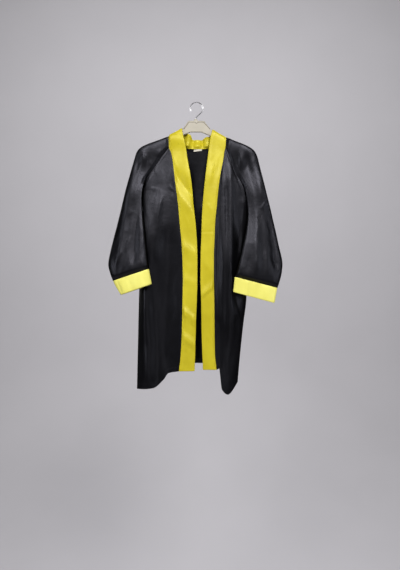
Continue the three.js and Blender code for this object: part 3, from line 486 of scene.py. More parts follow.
def body_edge(side, v, face):
    """The raglan seam down to v = 1, and the side seam below it."""
    raglan_x, raglan_z = line_at(side[face + "_raglan"], v)
    side_z = lerp(side["side"]["z"][0], side["side"]["z"][-1], v - 1)
    x = np.where(v <= 1, raglan_x, read(side["side"], "z", "x", side_z))
    return x, np.where(v <= 1, raglan_z, side_z)


def front_surface(side, folds, v, across):
    hem_band, hem_side = side["hem"]["z"][0], side["hem"]["z"][-1]
    edge_x, edge_z = body_edge(side, v, "front")
    below = np.maximum(0, v - 1)
    band_z = np.where(v <= 1, edge_z, lerp(side["side"]["z"][0], hem_band, below))
    depth = read(BODY_DEPTH, "z", "front", edge_z)
    reach = section_reach(raglan_depth(side, v, "front", depth), depth)
    share = towards_side(across)
    drop = read(side["hem"], "across", "z", share) - lerp(hem_band, hem_side, share)
    x = lerp(read(side["band"], "z", "outer", band_z), edge_x, share)
    z = lerp(band_z, edge_z, share) + drop * below**HEM_POWER
    fold = fold_height(folds, x, z) * seam_fade(share)
    y = -depth * section_depth(share * reach) - fold
    return np.stack(np.broadcast_arrays(x, y, z), axis=-1)


def back_surface(v, across):
    right_x, right_z = body_edge(RIGHT, v, "back")
    left_x, left_z = body_edge(LEFT, v, "back")
    middle_x, middle_z = (right_x + left_x) / 2, (right_z + left_z) / 2
    depth = read(BODY_DEPTH, "z", "back", middle_z - NECK_DIP)
    share = towards_side(np.abs(across))
    hem_middle = (BACK_HEM["z"][0] + BACK_HEM["z"][-1]) / 2
    halves = []
    for side, edge_x, edge_z in ((RIGHT, right_x, right_z), (LEFT, left_x, left_z)):
        reach = section_reach(raglan_depth(side, v, "back", depth), depth)
        neck_dip = NECK_DIP * (1 - share**SECTION_POWER) * np.maximum(0, 1 - v) ** 2
        straight = lerp(hem_middle, side["side"]["z"][-1], share)
        drop = read(BACK_HEM, "across", "z", share * side["out"]) - straight
        x = lerp(middle_x, edge_x, share)
        z = lerp(middle_z, edge_z, share) - neck_dip + drop * np.maximum(0, v - 1) ** HEM_POWER
        fold = fold_height(FOLDS["back"], x, z) * seam_fade((1 + share) / 2)
        y = depth * section_depth(share * reach) + fold
        halves.append(np.stack(np.broadcast_arrays(x, y, z), axis=-1))
    return np.where((across < 0)[..., None], halves[0], halves[1])


def sleeve_surface(side, folds, v, around):
    outer_x, outer_z = line_at(side["outer"], v)
    underarm_x, underarm_z = line_at(side["underarm"], v)
    halves = []
    for face, facing, power in (("front", -1, SLEEVE_FRONT_POWER), ("back", 1, SECTION_POWER)):
        edge_x, edge_z = body_edge(side, np.minimum(v, 1), face)
        inner_x = np.where(v >= 1, underarm_x, edge_x)
        inner_z = np.where(v >= 1, underarm_z, edge_z)
        above = np.minimum(v, 1) ** ARMPIT_GAP_POWER
        below = np.maximum(0, 1 - (v - 1) / ARMPIT_GAP_LENGTH)
        inner_x = inner_x + side["out"] * ARMPIT_GAP * np.where(v < 1, above, below)
        depth = read(side["sleeve"], "v", face, v)
        body_z = inner_z if face == "front" else inner_z - NECK_DIP
        body_depth = read(BODY_DEPTH, "z", face, body_z)
        raglan = raglan_depth(side, v, face, body_depth)
        reach = np.where(v >= 1, 1, section_reach(raglan, depth, power))
        share = towards_both_ends(1 - np.abs(2 * around - 1))
        place = lerp(-reach, 1, share)
        lean_y = lerp(
            read(side["sleeve"], "v", "underarm_y", v),
            read(side["sleeve"], "v", "outer_y", v),
            (place + 1) / 2,
        )
        x, z = lerp(inner_x, outer_x, share), lerp(inner_z, outer_z, share)
        fade = seam_fade(share) * np.minimum(1, (2 - v) / CUFF_FADE)
        fold = fold_height(folds, x, z) * fade
        y = lean_y + facing * (depth * sleeve_section(place, power) + fold)
        halves.append(np.stack(np.broadcast_arrays(x, y, z), axis=-1))
    return np.where((around < 0.5)[..., None], halves[0], halves[1])


# Cloth meshes


def unit(vectors):
    return vectors / np.maximum(np.linalg.norm(vectors, axis=-1, keepdims=True), 1e-9)


def inward_of(points, sign):
    along = np.gradient(points, axis=1)
    down = np.gradient(points, axis=0)
    return unit(np.cross(along, down)) * sign


def displaced(points, inward, height):
    return points - inward * height[..., None]


# The edges of a grid, each with the line of points beside it
EDGES = {
    "first": (np.s_[:, :1], np.s_[:, 1:2]),
    "last": (np.s_[:, -1:], np.s_[:, -2:-1]),
    "top": (np.s_[:1], np.s_[1:2]),
    "bottom": (np.s_[-1:], np.s_[-2:-1]),
}


def distance_to(points, lines):
    """Distance from each point of a grid, along its row or column, to the nearest line."""
    return np.minimum.reduce([np.linalg.norm(points - line, axis=-1) for line in lines])


def edge_distance(points, edges):
    return distance_to(points, [points[EDGES[edge][0]] for edge in edges])


def draw_back(points, edges):
    """Leaves half a seam's gap at the named edges."""
    moved = points.copy()
    for edge in edges:
        at, towards = EDGES[edge]
        step = points[towards] - points[at]
        length = np.linalg.norm(step, axis=-1, keepdims=True)
        moved[at] = points[at] + unit(step) * np.minimum(SEAM_GAP / 2, MOST_OF_STEP * length)
    return moved


def mesh_object(name, vertices, faces, material):
    """A smooth object from vertices in metres."""
    mesh = bpy.data.meshes.new(name)
    mesh.from_pydata(vertices, [], faces)
    mesh.shade_smooth()
    mesh.materials.append(material)
    obj = bpy.data.objects.new(name, mesh)
    bpy.context.scene.collection.objects.link(obj)
    return obj


def rim_places(rows, columns):
    """Row and column of each point on the edge of a grid, in order round it."""
    places = (
        [(0, j) for j in range(columns)]
        + [(i, columns - 1) for i in range(1, rows)]
        + [(rows - 1, j) for j in range(columns - 2, -1, -1)]
        + [(i, 0) for i in range(rows - 2, 0, -1)]
    )
    return np.array(places).T


def places_along(steps):
    """How far along a line its points lie, from the steps between them."""
    return np.concatenate([[0], np.cumsum(steps)])


def flat_places(points):
    """Where each point of a grid lies on the flat cloth, from the mean steps across and down."""
    step_across = np.linalg.norm(np.diff(points, axis=1), axis=-1).mean(axis=0)
    step_down = np.linalg.norm(np.diff(points, axis=0), axis=-1).mean(axis=1)
    u, w = places_along(step_across), places_along(step_down)
    return np.stack(np.meshgrid(u, -w), axis=-1).reshape(-1, 2)


def signed_volume(vertices, faces):
    a, b, c, d = (vertices[faces[:, k]] for k in range(4))
    return ((a * np.cross(b, c)).sum() + (a * np.cross(c, d)).sum()) / 6


def wall(name, points, inward, thickness, material):
    """A closed shell of cloth on a grid of points, with rounded edges and its own UV map."""
    rows, columns = points.shape[:2]
    inner = points + inward * thickness
    i, j = rim_places(rows, columns)
    beside = points[np.clip(i, 1, rows - 2), np.clip(j, 1, columns - 2)]
    outward = unit(points[i, j] - beside) * thickness * RIM_ROUNDING
    rim = (points[i, j] + inner[i, j]) / 2 + outward
    vertices = np.concatenate([points.reshape(-1, 3), inner.reshape(-1, 3), rim]) * MM
    layer = rows * columns
    index = np.arange(layer).reshape(rows, columns)
    a, b = index[:-1, :-1].ravel(), index[1:, :-1].ravel()
    c, d = index[1:, 1:].ravel(), index[:-1, 1:].ravel()
    around = i * columns + j
    ahead = np.roll(around, -1)
    middle = 2 * layer + np.arange(len(around))
    middle_ahead = np.roll(middle, -1)
    corners = (
        (a, b, c, d),
        (a + layer, d + layer, c + layer, b + layer),
        (around, ahead, middle_ahead, middle),
        (middle, middle_ahead, ahead + layer, around + layer),
    )
    faces = np.concatenate([np.stack(four, axis=1) for four in corners])
    obj = mesh_object(name, vertices.tolist(), faces.tolist(), material)
    mesh = obj.data
    flat = flat_places(points)
    uv_of = np.concatenate([flat, flat, flat[around]]) * MM
    loops = np.zeros(len(mesh.loops), np.int32)
    mesh.loops.foreach_get("vertex_index", loops)
    mesh.uv_layers.new(name="cloth").data.foreach_set("uv", uv_of[loops].astype(np.float32).ravel())
    if signed_volume(vertices, faces) < 0:
        mesh.flip_normals()
    return obj


def fine(values, parts):
    """Divides each step of a list of places into equal parts."""
    values = np.array(values, float)
    steps = [np.linspace(a, b, parts, endpoint=False) for a, b in zip(values[:-1], values[1:])]
    return np.append(np.concatenate(steps), values[-1])


SEAM_ROWS = [0.02, 0.1, 0.2, 0.3, 0.4, 0.5, 0.6, 0.7, 0.8, 0.9, 0.96, 1]
SLEEVE_ROWS = [1.05, 1.12, 1.21, 1.32, 1.44, 1.56, 1.68, 1.78, 1.86, 1.93, 2]
BODY_ROWS = [1.05, 1.11, 1.18, 1.26, 1.34, 1.42, 1.5, 1.58, 1.66, 1.74, 1.81, 1.87, 1.92, 1.96, 2]
BODY_FINE_ROWS = fine(SEAM_ROWS + BODY_ROWS, 9)
BACK_FINE_ROWS = fine([0] + SEAM_ROWS + BODY_ROWS, 9)
SLEEVE_FINE_ROWS = fine([0] + SEAM_ROWS + SLEEVE_ROWS, 7)
FRONT_COLUMNS = np.linspace(0, 1, 79)
BACK_COLUMNS = np.linspace(-1, 1, 169)
SLEEVE_COLUMNS = np.linspace(0, 1, 157)
SLEEVE_MIDDLE = len(SLEEVE_COLUMNS) // 2
BAND_COLUMNS = 24
CUFF_ROWS = 18

# Materials

DARK_UP_TO = 0.3
LIGHT_FROM = 0.7
GLOSS_SPREAD = 0.04
MATT_SHADE = 0.97


def add(tree, kind, **values):
    node = tree.nodes.new(kind)
    for key, value in values.items():
        node.inputs[key.replace("_", " ")].default_value = value
    return node


def nodes_of(name):
    material = bpy.data.materials.new(name)
    material.use_nodes = True
    tree = material.node_tree
    return material, tree, tree.nodes["Principled BSDF"], add(tree, "ShaderNodeTexCoord")


def clouded(tree, shader, place, dark, light, light_from=LIGHT_FROM, **noise):
    """Colours the shader in soft clouds between two colours, and returns the clouds."""
    cloud = add(tree, "ShaderNodeTexNoise", **noise)
    tree.links.new(place.outputs["Object"], cloud.inputs["Vector"])
    ramp = tree.nodes.new("ShaderNodeValToRGB")
    stops = ((DARK_UP_TO, dark), (light_from, light))
    for element, (position, colour) in zip(ramp.color_ramp.elements, stops):
        element.position = position
        element.color = (*colour, 1)
    tree.links.new(cloud.outputs["Fac"], ramp.inputs["Fac"])
    tree.links.new(ramp.outputs["Color"], shader.inputs["Base Color"])
    return cloud.outputs["Fac"]


def uneven_gloss(tree, shader, cloud, smooth, rough):
    gloss = add(tree, "ShaderNodeMapRange", To_Min=smooth, To_Max=rough)
    tree.links.new(cloud, gloss.inputs["Value"])
    tree.links.new(gloss.outputs["Result"], shader.inputs["Roughness"])


def calm_rim(tree, shader, level):
    """Cloth and matt plastic shine far less along their outlines than a polished face would."""
    edge = add(tree, "ShaderNodeLayerWeight", Blend=0.5)
    fade = add(tree, "ShaderNodeMapRange", From_Min=0.25, From_Max=0.6, To_Min=level, To_Max=0.0)
    tree.links.new(edge.outputs["Facing"], fade.inputs["Value"])
    tree.links.new(fade.outputs["Result"], shader.inputs["Specular IOR Level"])


def grain(tree, vector, strength, distance, **noise):
    """Noise raised as bump."""
    texture = add(tree, "ShaderNodeTexNoise", **noise)
    tree.links.new(vector, texture.inputs["Vector"])
    bump = add(tree, "ShaderNodeBump", Strength=strength, Distance=distance)
    tree.links.new(texture.outputs["Fac"], bump.inputs["Height"])
    return bump


def satin(name, dark, light, rough, level, tint, weave):
    """Woven satin: long floating threads, small crinkles and slow changes of colour."""
    material, tree, shader, place = nodes_of(name)
    link = tree.links.new
    cloud = clouded(tree, shader, place, dark, light, Scale=14.0, Detail=3.0, Roughness=0.55)
    uneven_gloss(tree, shader, cloud, rough - GLOSS_SPREAD, rough + GLOSS_SPREAD)
    threads = add(tree, "ShaderNodeMapping", Scale=(2600.0, 620.0, 1.0))
    link(place.outputs["UV"], threads.inputs["Vector"])
    weft = grain(
        tree, threads.outputs["Vector"], strength=0.12 * weave, distance=0.0002,
        Scale=1.0, Detail=1.0,
    )
    crinkle = grain(
        tree, place.outputs["Object"], strength=0.35 * weave, distance=0.0016,
        Scale=85.0, Detail=2.5, Roughness=0.5,
    )
    link(weft.outputs["Normal"], crinkle.inputs["Normal"])
    link(crinkle.outputs["Normal"], shader.inputs["Normal"])
    shader.inputs["Specular Tint"].default_value = (*tint, 1)
    calm_rim(tree, shader, level)
    return material


def plastic(name, colour, deep):
    material, tree, shader, place = nodes_of(name)
    cloud = clouded(tree, shader, place, deep, colour, light_from=0.65, Scale=30.0, Detail=4.0)
    uneven_gloss(tree, shader, cloud, 0.32, 0.46)
    bump = grain(
        tree, place.outputs["Object"], strength=0.1, distance=0.0002, Scale=900.0, Detail=2.0
    )
    tree.links.new(bump.outputs["Normal"], shader.inputs["Normal"])
    calm_rim(tree, shader, 0.5)
    return material


def steel(name, dark, light):
    """Drawn wire."""
    material, tree, shader, place = nodes_of(name)
    cloud = clouded(tree, shader, place, dark, light, Scale=240.0, Detail=3.0)
    uneven_gloss(tree, shader, cloud, 0.2, 0.36)
    shader.inputs["Metallic"].default_value = 1.0
    return material


def matt(name, colour, rough):
    material, tree, shader, place = nodes_of(name)
    darker = tuple(c * MATT_SHADE for c in colour)
    clouded(tree, shader, place, darker, colour, Scale=2.0, Detail=2.0)
    shader.inputs["Roughness"].default_value = rough
    return material


BLACK = satin(
    "black_satin", dark=(0.0007, 0.0007, 0.0008), light=(0.0015, 0.0015, 0.002),
    rough=0.37, level=0.22, tint=(0.84, 0.84, 1.0), weave=0.6,
)
YELLOW = satin(
    "yellow_satin", dark=(0.41, 0.34, 0.011), light=(0.50, 0.425, 0.019),
    rough=0.38, level=0.4, tint=(1.0, 0.98, 0.45), weave=0.7,
)
PALE_YELLOW = satin(
    "cuff_satin", dark=(0.66, 0.62, 0.125), light=(0.77, 0.74, 0.19),
    rough=0.42, level=0.4, tint=(1.0, 0.99, 0.6), weave=0.7,
)
TAPE = satin(
    "label_tape", dark=(0.48, 0.45, 0.38), light=(0.54, 0.51, 0.45),
    rough=0.7, level=0.3, tint=(1.0, 1.0, 1.0), weave=1.0,
)
PLASTIC = plastic("hanger_plastic", colour=(0.357, 0.328, 0.268), deep=(0.325, 0.299, 0.242))
# The rim's plastic is much darker than the hanger's own: painted shade for the shadow line along
# the hanger's top edge.
RIM_SHADE_PLASTIC = plastic("rim_painted_shade", colour=(0.15, 0.135, 0.10), deep=(0.13, 0.115, 0.085))
STEEL = steel("hook_steel", dark=(0.5, 0.5, 0.51), light=(0.66, 0.66, 0.67))
BLACK_THREAD = matt("black_thread", colour=(0.02, 0.02, 0.024), rough=0.6)
YELLOW_THREAD = matt("yellow_thread", colour=(0.41, 0.345, 0.018), rough=0.6)

# Black panels, with their relief: heights, and the distances over which each fades or falls off

CREASE_SHARE = 0.45
CREASE_WIDENING = 1.35
SEAM_CALM = 11
SEAM_ROLL = 0.6
SEAM_ROLL_WIDTH = 3.5
HEM_HEIGHT = 16
HEM_STEP = 0.5
HEM_STEP_WIDTH = 1.6
SWELL_CALM = 13
SWELL_FACING = 0.6
SWELL_BACK_SHARE = 0.6


def cloth_relief(points, inward, creases, seams, seed, wave):
    """Creases, small undulations, the roll into the seams and the step above a hem."""
    x, z = points[..., 0], points[..., 2]
    from_seam = edge_distance(points, seams)
    height = CREASE_SHARE * crease_height(creases, x, z, CREASE_WIDENING)
    height = height + wave * undulation(UNDULATIONS["satin"], x, z, seed)
    height = height * smoothstep(from_seam, 0, SEAM_CALM)
    facing = np.abs(inward[..., 1]) ** 2
    height = height - SEAM_ROLL * facing * bell(from_seam, SEAM_ROLL_WIDTH)
    if "bottom" not in seams:
        from_hem = edge_distance(points, ["bottom"])
        height = height - HEM_STEP * bell(from_hem - HEM_HEIGHT, HEM_STEP_WIDTH)
    return height


def cloth_piece(node, points, inward, thickness, material):
    """The cloth that stands for a node of the part, with the points of its outer face."""
    obj = wall(node + "_cloth", points, inward, thickness, material)
    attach(obj, "root")
    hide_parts(node)
    return {"object": obj, "points": points, "inward": inward}


def panel(node, points, sign, seams, seed, wave):
    """Single satin. Swells move it forwards or back only, so the outline stays."""
    inward = inward_of(points, sign)
    height = cloth_relief(points, inward, CREASES[node], seams, seed, wave)
    shaped = displaced(points, inward, height)
    swell = swell_height(SWELLS[node], points[..., 0], points[..., 2])
    swell = swell * smoothstep(edge_distance(points, seams), 0, SWELL_CALM)
    shaped[..., 1] -= np.clip(inward[..., 1] / SWELL_FACING, -SWELL_BACK_SHARE, 1) * swell
    shaped = draw_back(shaped, seams)
    return cloth_piece(node, shaped, inward_of(shaped, sign), SATIN_WALL, BLACK)


def front_grid(side, node):
    return front_surface(side, FOLDS[node], BODY_FINE_ROWS[:, None], FRONT_COLUMNS[None, :])


ARMPIT_PASSES = 900
ARMPIT_FROM = (0.5, 0.8)
ARMPIT_TO = (1.2, 1.5)
ARMPIT_CALM = 12


def sleeve_grid(side, node):
    """The sleeve's surface, with the dip beside the armpit rounded off away from the seam."""
    rows, columns = SLEEVE_FINE_ROWS[:, None], SLEEVE_COLUMNS[None, :]
    points = sleeve_surface(side, FOLDS[node], rows, columns)
    near = smoothstep(SLEEVE_FINE_ROWS, *ARMPIT_FROM)
    near = near * (1 - smoothstep(SLEEVE_FINE_ROWS, *ARMPIT_TO))
    weight = smoothstep(edge_distance(points, ["first", "last"]), 0, ARMPIT_CALM) * near[:, None]
    weight = weight[1:-1, :, None]
    for _ in range(ARMPIT_PASSES):
        points[1:-1] = lerp(points[1:-1], (points[:-2] + points[2:]) / 2, weight)
    return points


grids = {
    "back": back_surface(BACK_FINE_ROWS[:, None], BACK_COLUMNS[None, :]),
    "front_right": front_grid(RIGHT, "front_right"),
    "front_left": front_grid(LEFT, "front_left"),
    "sleeve_right": sleeve_grid(RIGHT, "sleeve_right"),
    "sleeve_left": sleeve_grid(LEFT, "sleeve_left"),
}
BODY_SEAMS = ["top", "first", "last"]
SLEEVE_SEAMS = ["top", "bottom", "first", "last"]

pieces = {}
for node, sign, seams, seed, wave, slot in (
    ("back", -1, BODY_SEAMS, 11, 1.0, "black_satin"),
    ("front_right", RIGHT["out"], BODY_SEAMS, 21, 1.0, "black_satin"),
    ("front_left", LEFT["out"], BODY_SEAMS, 31, 0.8, "black_satin"),
    ("sleeve_right", RIGHT["out"], SLEEVE_SEAMS, 41, 0.8, "sleeve_satin"),
    ("sleeve_left", LEFT["out"], SLEEVE_SEAMS, 51, 0.8, "sleeve_satin"),
):
    pieces[node] = panel(node, grids[node], sign, seams, seed, wave)

# Yellow bands and neckband

BAND_CALM = 8
BAND_ROLL = 1.1
BAND_ROLL_WIDTH = 4.5


def below_ridge(side):
    (inner_x, inner_z), (outer_x, outer_z) = side["ridge"]["inner"], side["ridge"]["outer"]
    rise, run = inner_z - outer_z, abs(outer_x - inner_x)
    return unit(np.array([-side["out"] * rise, 0, -run]))


def across_band(free, seam):
    share = np.linspace(0, 1, BAND_COLUMNS + 1)[None, :, None]
    return lerp(free[:, None], seam[:, None], share)


def band_grid(side, sleeve, front):
    seam = np.concatenate([sleeve[0, SLEEVE_MIDDLE::-1], front[:, 0]])
    inner_z, outer_z = side["fold_z"]["inner"], side["fold_z"]["outer"]
    hem_z = side["band"]["z"][-1]
    ridge_outer_z, ridge_inner_z = side["ridge"]["outer"][1], side["ridge"]["inner"][1]
    z = seam[:, 2]
    climb = (z - outer_z) / (ridge_outer_z - outer_z)
    straighten = np.clip((z - outer_z) / (hem_z - outer_z) / BAND_TILT_SHARE, 0, 1)
    tilt = (inner_z - outer_z) * (1 - straighten) ** 2
    free_z = np.where(
        z > outer_z, lerp(inner_z, ridge_inner_z, climb), np.maximum(hem_z, z + tilt)
    )
    free_x = read(side["band"], "z", "inner", free_z)
    free = np.stack([free_x, seam[:, 1], free_z], axis=-1)
    return across_band(free, seam)


def neckband_grid(right_sleeve, back_points, left_sleeve):
    right_half, left_half = right_sleeve[0, SLEEVE_MIDDLE:], left_sleeve[0, SLEEVE_MIDDLE:]
    seam = np.concatenate([right_half, back_points[0, 1:-1], left_half[::-1]])
    right_x, left_x = RIGHT["ridge"]["outer"][0], LEFT["ridge"]["outer"][0]
    across = np.clip(2 * (seam[:, 0] - right_x) / (left_x - right_x) - 1, -1, 1)
    x = lerp(RIGHT["ridge"]["inner"][0], LEFT["ridge"]["inner"][0], (across + 1) / 2)
    y = read(NECK_EDGE, "across", "y", across) * section_depth(across, NECK_POWER)
    free = np.stack([x, y, read(NECK_EDGE, "across", "z", across)], axis=-1)
    return across_band(free, seam)


def band_inward(points, sign, ridges):
    """Directions into a band, given at the ridges where it folds over into the next."""
    inward = inward_of(points, sign)
    for row, direction in ridges.items():
        inward[row] = direction
    return inward


def band(node, points, sign, seed, ridges, drawn):
    """A double band: slightly full in its middle, rolled in at its edges, lightly creased."""
    x, z = points[..., 0], points[..., 2]
    height = crease_height(CREASES[node], x, z) + undulation(UNDULATIONS["band"], x, z, seed)
    height = height * smoothstep(edge_distance(points, ["last"]), 0, BAND_CALM)
    height = height - BAND_ROLL * bell(edge_distance(points, ["first", "last"]), BAND_ROLL_WIDTH)
    from_ridge = distance_to(points, [points[row] for row in ridges])
    height = height * smoothstep(from_ridge, 0, BAND_CALM)
    shaped = draw_back(displaced(points, band_inward(points, sign, ridges), height), drawn)
    inward = band_inward(shaped, sign, ridges)
    return cloth_piece(node, shaped, inward, BAND_WALL, YELLOW)


for node, side, sleeve, front, seed in (
    ("band_right", RIGHT, "sleeve_right", "front_right", 61),
    ("band_left", LEFT, "sleeve_left", "front_left", 71),
):
    points = band_grid(side, grids[sleeve], grids[front])
    ridge = {0: below_ridge(side)}
    pieces[node] = band(node, points, side["out"], seed, ridge, ["top", "last"])

neck_points = neckband_grid(grids["sleeve_right"], grids["back"], grids["sleeve_left"])
neck_ridges = {0: below_ridge(RIGHT), -1: below_ridge(LEFT)}
pieces["band_neck"] = band(
    "band_neck", neck_points, 1, 81, neck_ridges, ["top", "bottom", "last"]
)

# Cuffs

CUFF_BACK_SHARE = 0.4
CUFF_CALM = 8
CUFF_TOP_ROLL = 0.7
CUFF_TOP_WIDTH = 2.2
CUFF_HEM_ROLL = 0.5
CUFF_HEM_WIDTH = 1.6


def cuff_grid(side, sleeve):
    top = sleeve[-1]
    share = towards_both_ends(1 - np.abs(2 * SLEEVE_COLUMNS - 1))
    outer, inner = side["cuff"]["outer"], side["cuff"]["inner"]
    depth = np.where(SLEEVE_COLUMNS < 0.5, -side["cuff"]["front"], side["cuff"]["back"])
    x = lerp(inner[0], outer[0], share)
    y = lerp(inner[1], outer[1], share) + depth * sleeve_section(lerp(-1, 1, share))
    z = lerp(inner[2], outer[2], share)
    hem = np.stack([x, y, z], axis=-1)
    down = np.linspace(0, 1, CUFF_ROWS + 1)[:, None, None]
    return lerp(top[None], hem[None], down)


def cuff(node, side, sleeve, seed):
    points = cuff_grid(side, sleeve)
    inward = inward_of(points, side["out"])
    from_top, from_hem = edge_distance(points, ["top"]), edge_distance(points, ["bottom"])
    x, z = points[..., 0], points[..., 2]
    height = np.where(inward[..., 1] > 0, 1, CUFF_BACK_SHARE) * crease_height(CREASES[node], x, z)
    height = height + undulation(UNDULATIONS["cuff"], x, z, seed)
    height = height * smoothstep(from_top, 0, CUFF_CALM)
    height = height - CUFF_TOP_ROLL * bell(from_top, CUFF_TOP_WIDTH)
    height = height - CUFF_HEM_ROLL * bell(from_hem, CUFF_HEM_WIDTH)
    shaped = draw_back(displaced(points, inward, height), ["top"])
    inward = inward_of(shaped, side["out"])
    return cloth_piece(node, shaped, inward, BAND_WALL, PALE_YELLOW)


pieces["cuff_right"] = cuff("cuff_right", RIGHT, grids["sleeve_right"], 91)
pieces["cuff_left"] = cuff("cuff_left", LEFT, grids["sleeve_left"], 101)

# Label

LABEL_COLUMNS = 28
LABEL_ROWS = 8
LABEL = {
    "x": 4.2, "width": 27, "top": -151.0, "height": 6.5, "tilt": 0.13,
    "off_back": 1.9, "lean": 0.8, "ripple": 0.15, "ripple_rate": 9,
}


def label_grid():
    share = np.linspace(0, 1, LABEL_COLUMNS + 1)[None, :]
    down = np.linspace(0, 1, LABEL_ROWS + 1)[:, None]
    x = LABEL["x"] + (share - 0.5) * LABEL["width"] + 0 * down
    z = LABEL["top"] - down * LABEL["height"] + (x - LABEL["x"]) * LABEL["tilt"]
    y = read(BODY_DEPTH, "z", "back", z) - LABEL["off_back"] - LABEL["lean"] * down**2
    y = y + LABEL["ripple"] * np.sin(share * LABEL["ripple_rate"])
    return np.stack([x, y, z], axis=-1)


label_points = label_grid()
pieces["label"] = cloth_piece(
    "label", label_points, inward_of(label_points, -1), LABEL_WALL, TAPE
)

# Sewing

STITCH_PITCH = 2.8
STITCH_LENGTH = 2.1
STITCH_LIFT = 0.04
STITCH_END_SINK = 0.6
STITCH_SIDES = 4
STITCH_LOOK_AHEAD = 0.5
BAND_STITCH_COLUMN = 2
BAND_STITCHES_FROM_ROW = 4
NECK_STITCHES_FROM_ROW = 6


def along_path(centres, place, values):
    return np.stack([np.interp(centres, place, values[:, k]) for k in range(3)], axis=-1)


def stitches(name, runs, thick, material):
    """Thread lying on the cloth: a short, slim stitch at each step along each run."""
    vertices, faces = [], []
    for path, inward in runs:
        steps = np.linalg.norm(np.diff(path, axis=0), axis=-1)
        place = places_along(steps)
        centres = np.arange(STITCH_PITCH, place[-1] - STITCH_PITCH / 2, STITCH_PITCH)
        at = along_path(centres, place, path)
        along = unit(along_path(centres + STITCH_LOOK_AHEAD, place, path) - at)
        up = -unit(along_path(centres, place, inward))
        across = unit(np.cross(along, up))
        for centre, a, u, c in zip(at + up * STITCH_LIFT, along, up, across):
            base = len(vertices)
            for end in (-0.5, 0.5):
                vertices.append(centre + a * end * STITCH_LENGTH - u * thick * STITCH_END_SINK)
            for turn in range(STITCH_SIDES):
                angle = turn * 2 * math.pi / STITCH_SIDES
                vertices.append(centre + (u * math.cos(angle) + c * math.sin(angle)) * thick / 2)
            for turn in range(STITCH_SIDES):
                here, there = base + 2 + turn, base + 2 + (turn + 1) % STITCH_SIDES
                faces.append((base, here, there))
                faces.append((base + 1, there, here))
    obj = mesh_object(name, (np.array(vertices) * MM).tolist(), faces, material)
    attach(obj, "root")


def run(piece, at):
    return piece["points"][at], piece["inward"][at]


def hem_run(piece):
    from_hem = edge_distance(piece["points"], ["bottom"]).mean(axis=1)
    return run(piece, np.argmin(np.abs(from_hem - HEM_HEIGHT)))


yellow_runs = [
    run(pieces[node], np.s_[BAND_STITCHES_FROM_ROW:, column])
    for node in ("band_right", "band_left")
    for column in (BAND_STITCH_COLUMN, BAND_COLUMNS - BAND_STITCH_COLUMN)
]
neck_rows = slice(NECK_STITCHES_FROM_ROW, -NECK_STITCHES_FROM_ROW)
yellow_runs.append(run(pieces["band_neck"], (neck_rows, BAND_COLUMNS - 1)))
for node in ("cuff_right", "cuff_left"):
    yellow_runs += [run(pieces[node], 1), run(pieces[node], -2)]
stitches("thread_yellow", yellow_runs, 0.28, YELLOW_THREAD)

black_runs = [hem_run(pieces[node]) for node in ("back", "front_right", "front_left")]
stitches("thread_black", black_runs, 0.34, BLACK_THREAD)

# Hanger and hook

RIM_Y = -3.2
RIM_RADIUS = 0.9
RIM_FLATNESS = 0.7
RIM_STEPS = 90
RIM_SIDES = 8
RIM_LINE = table(
    "x z",
    (-42, -88), (-25, -65.2), (-23, -64.6), (-6, -64.6), (0, -69.5), (5.5, -64.4), (21, -64.4),
    (24, -65.4), (45.5, -88.5),
)


def hanger_shade_rim():
    """A slim rounded rib along the top edge of the hanger's flat face, coloured dark as painted
    shade: it stands for the shadow line along that edge.
    """
    steps = np.hypot(np.diff(RIM_LINE["x"]), np.diff(RIM_LINE["z"]))
    place = places_along(steps)
    along = np.linspace(0, place[-1], RIM_STEPS)
    x, z = np.interp(along, place, RIM_LINE["x"]), np.interp(along, place, RIM_LINE["z"])
    dx, dz = np.gradient(x), np.gradient(z)
    length = np.hypot(dx, dz)
    turn = np.linspace(0, 2 * math.pi, RIM_SIDES, endpoint=False)
    side, out = np.cos(turn) * RIM_RADIUS, np.sin(turn) * RIM_RADIUS * RIM_FLATNESS
    ring_x = x[:, None] - (dz / length)[:, None] * side
    ring_y = RIM_Y - out + 0 * x[:, None]
    ring_z = z[:, None] + (dx / length)[:, None] * side
    rings = np.stack([ring_x, ring_y, ring_z], axis=-1)
    index = np.arange(RIM_STEPS * RIM_SIDES).reshape(RIM_STEPS, RIM_SIDES)
    ahead = np.roll(index, -1, axis=1)
    quads = np.stack([index[:-1], ahead[:-1], ahead[1:], index[1:]], axis=-1).reshape(-1, 4)
    faces = quads.tolist() + [index[0, ::-1].tolist(), index[-1].tolist()]
    return mesh_object("hanger_shade_rim", (rings.reshape(-1, 3) * MM).tolist(), faces, RIM_SHADE_PLASTIC)


# The rib's dark colour is painted shade, not a darker plastic.
rim = hanger_shade_rim()
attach(rim, "root")

for node, material in (("hanger", PLASTIC), ("hook", STEEL)):
    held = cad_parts[node]
    held.data.materials.clear()
    held.data.materials.append(material)

# Studio, in metres

PALE_GREY = (0.44, 0.43, 0.455)


def sweep_backdrop():
    """A floor below the hem that curves up into a backdrop far behind."""
    low, near, far, high, half_width = -2.7, -5.0, 3.6, 3.6, 14.0
    bend, bend_steps = 1.6, 16
    profile = [(near, low), (far - bend, low)]
    for k in range(1, bend_steps + 1):
        angle = k / bend_steps * math.pi / 2
        profile.append((far - bend + bend * math.sin(angle), low + bend - bend * math.cos(angle)))
    profile.append((far, high))
    vertices = [(x, y, z) for x in (-half_width, half_width) for y, z in profile]
    count = len(profile)
    faces = [(k, k + 1, count + k + 1, count + k) for k in range(count - 1)]
    return mesh_object("floor", vertices, faces, matt("studio_grey", PALE_GREY, 0.9))


sweep_backdrop()

world = bpy.data.worlds.new("studio")
bpy.context.scene.world = world
world.use_nodes = True
background = world.node_tree.nodes["Background"]
background.inputs["Color"].default_value = (0.80, 0.80, 0.83, 1)
background.inputs["Strength"].default_value = 0.045

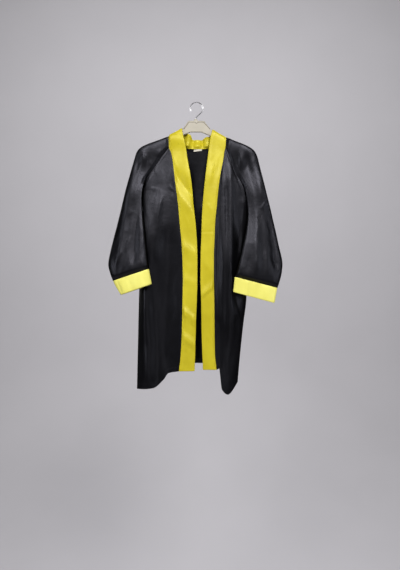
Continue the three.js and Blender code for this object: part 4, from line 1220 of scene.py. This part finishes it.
WARM, COOL, WHITE = (1.0, 0.985, 0.96), (0.96, 0.98, 1.0), (1.0, 1.0, 1.0)
GOWN = (0, 0, -0.5)
GOWN_LOW = (0, 0, -0.8)
WALL = (0, 3.6, -0.4)
WALL_LOW = (0, 3.6, -1.3)

for name, place, aim, size, power, colour in (
    ("key", (1.05, -3.6, 1.9), GOWN, (1.3, 0.9), 148, WARM),
    ("key_left", (-1.15, -3.6, 1.9), GOWN, (1.3, 0.9), 98, WARM),
    ("side_left", (-2.6, -2.0, 0.0), GOWN, (0.7, 1.6), 26, COOL),
    ("side_right", (2.5, -2.1, -0.1), GOWN, (0.7, 1.6), 16, COOL),
    ("low_front", (0.45, -3.4, -1.2), GOWN_LOW, (1.2, 0.35), 5, WHITE),
    ("rear", (1.3, 2.2, 0.7), GOWN, (1.2, 1.6), 50, WHITE),
    ("rear_fill", (-1.8, 1.6, 0.0), GOWN, (0.8, 1.6), 18, WHITE),
    ("backdrop", (0, 1.0, 1.9), WALL, (4.0, 0.8), 66, WHITE),
    ("backdrop_low", (0, 0.7, -2.15), WALL_LOW, (4.0, 0.6), 20, WHITE),
):
    light = bpy.data.lights.new(name, "AREA")
    light.shape = "RECTANGLE"
    light.size, light.size_y = size
    light.energy = power
    light.color = colour
    lamp = bpy.data.objects.new(name, light)
    lamp.location = place
    lamp.rotation_euler = (Vector(aim) - Vector(place)).to_track_quat("-Z", "Y").to_euler()
    bpy.context.scene.collection.objects.link(lamp)

CAMERA_DISTANCE = 1.8
PHOTO_HEIGHT = 1.881
PHOTO_MIDDLE = (0.0115, -0.6012)
SENSOR = 36
camera_data = bpy.data.cameras.new("camera")
camera_data.sensor_width = SENSOR
camera_data.lens = SENSOR * CAMERA_DISTANCE / PHOTO_HEIGHT
camera_data.clip_end = 100
camera = bpy.data.objects.new("camera", camera_data)
camera.location = (PHOTO_MIDDLE[0], -CAMERA_DISTANCE, PHOTO_MIDDLE[1])
camera.rotation_euler = (math.pi / 2, 0, 0)
bpy.context.scene.collection.objects.link(camera)
bpy.context.scene.camera = camera
bpy.context.scene.view_settings.view_transform = "Standard"
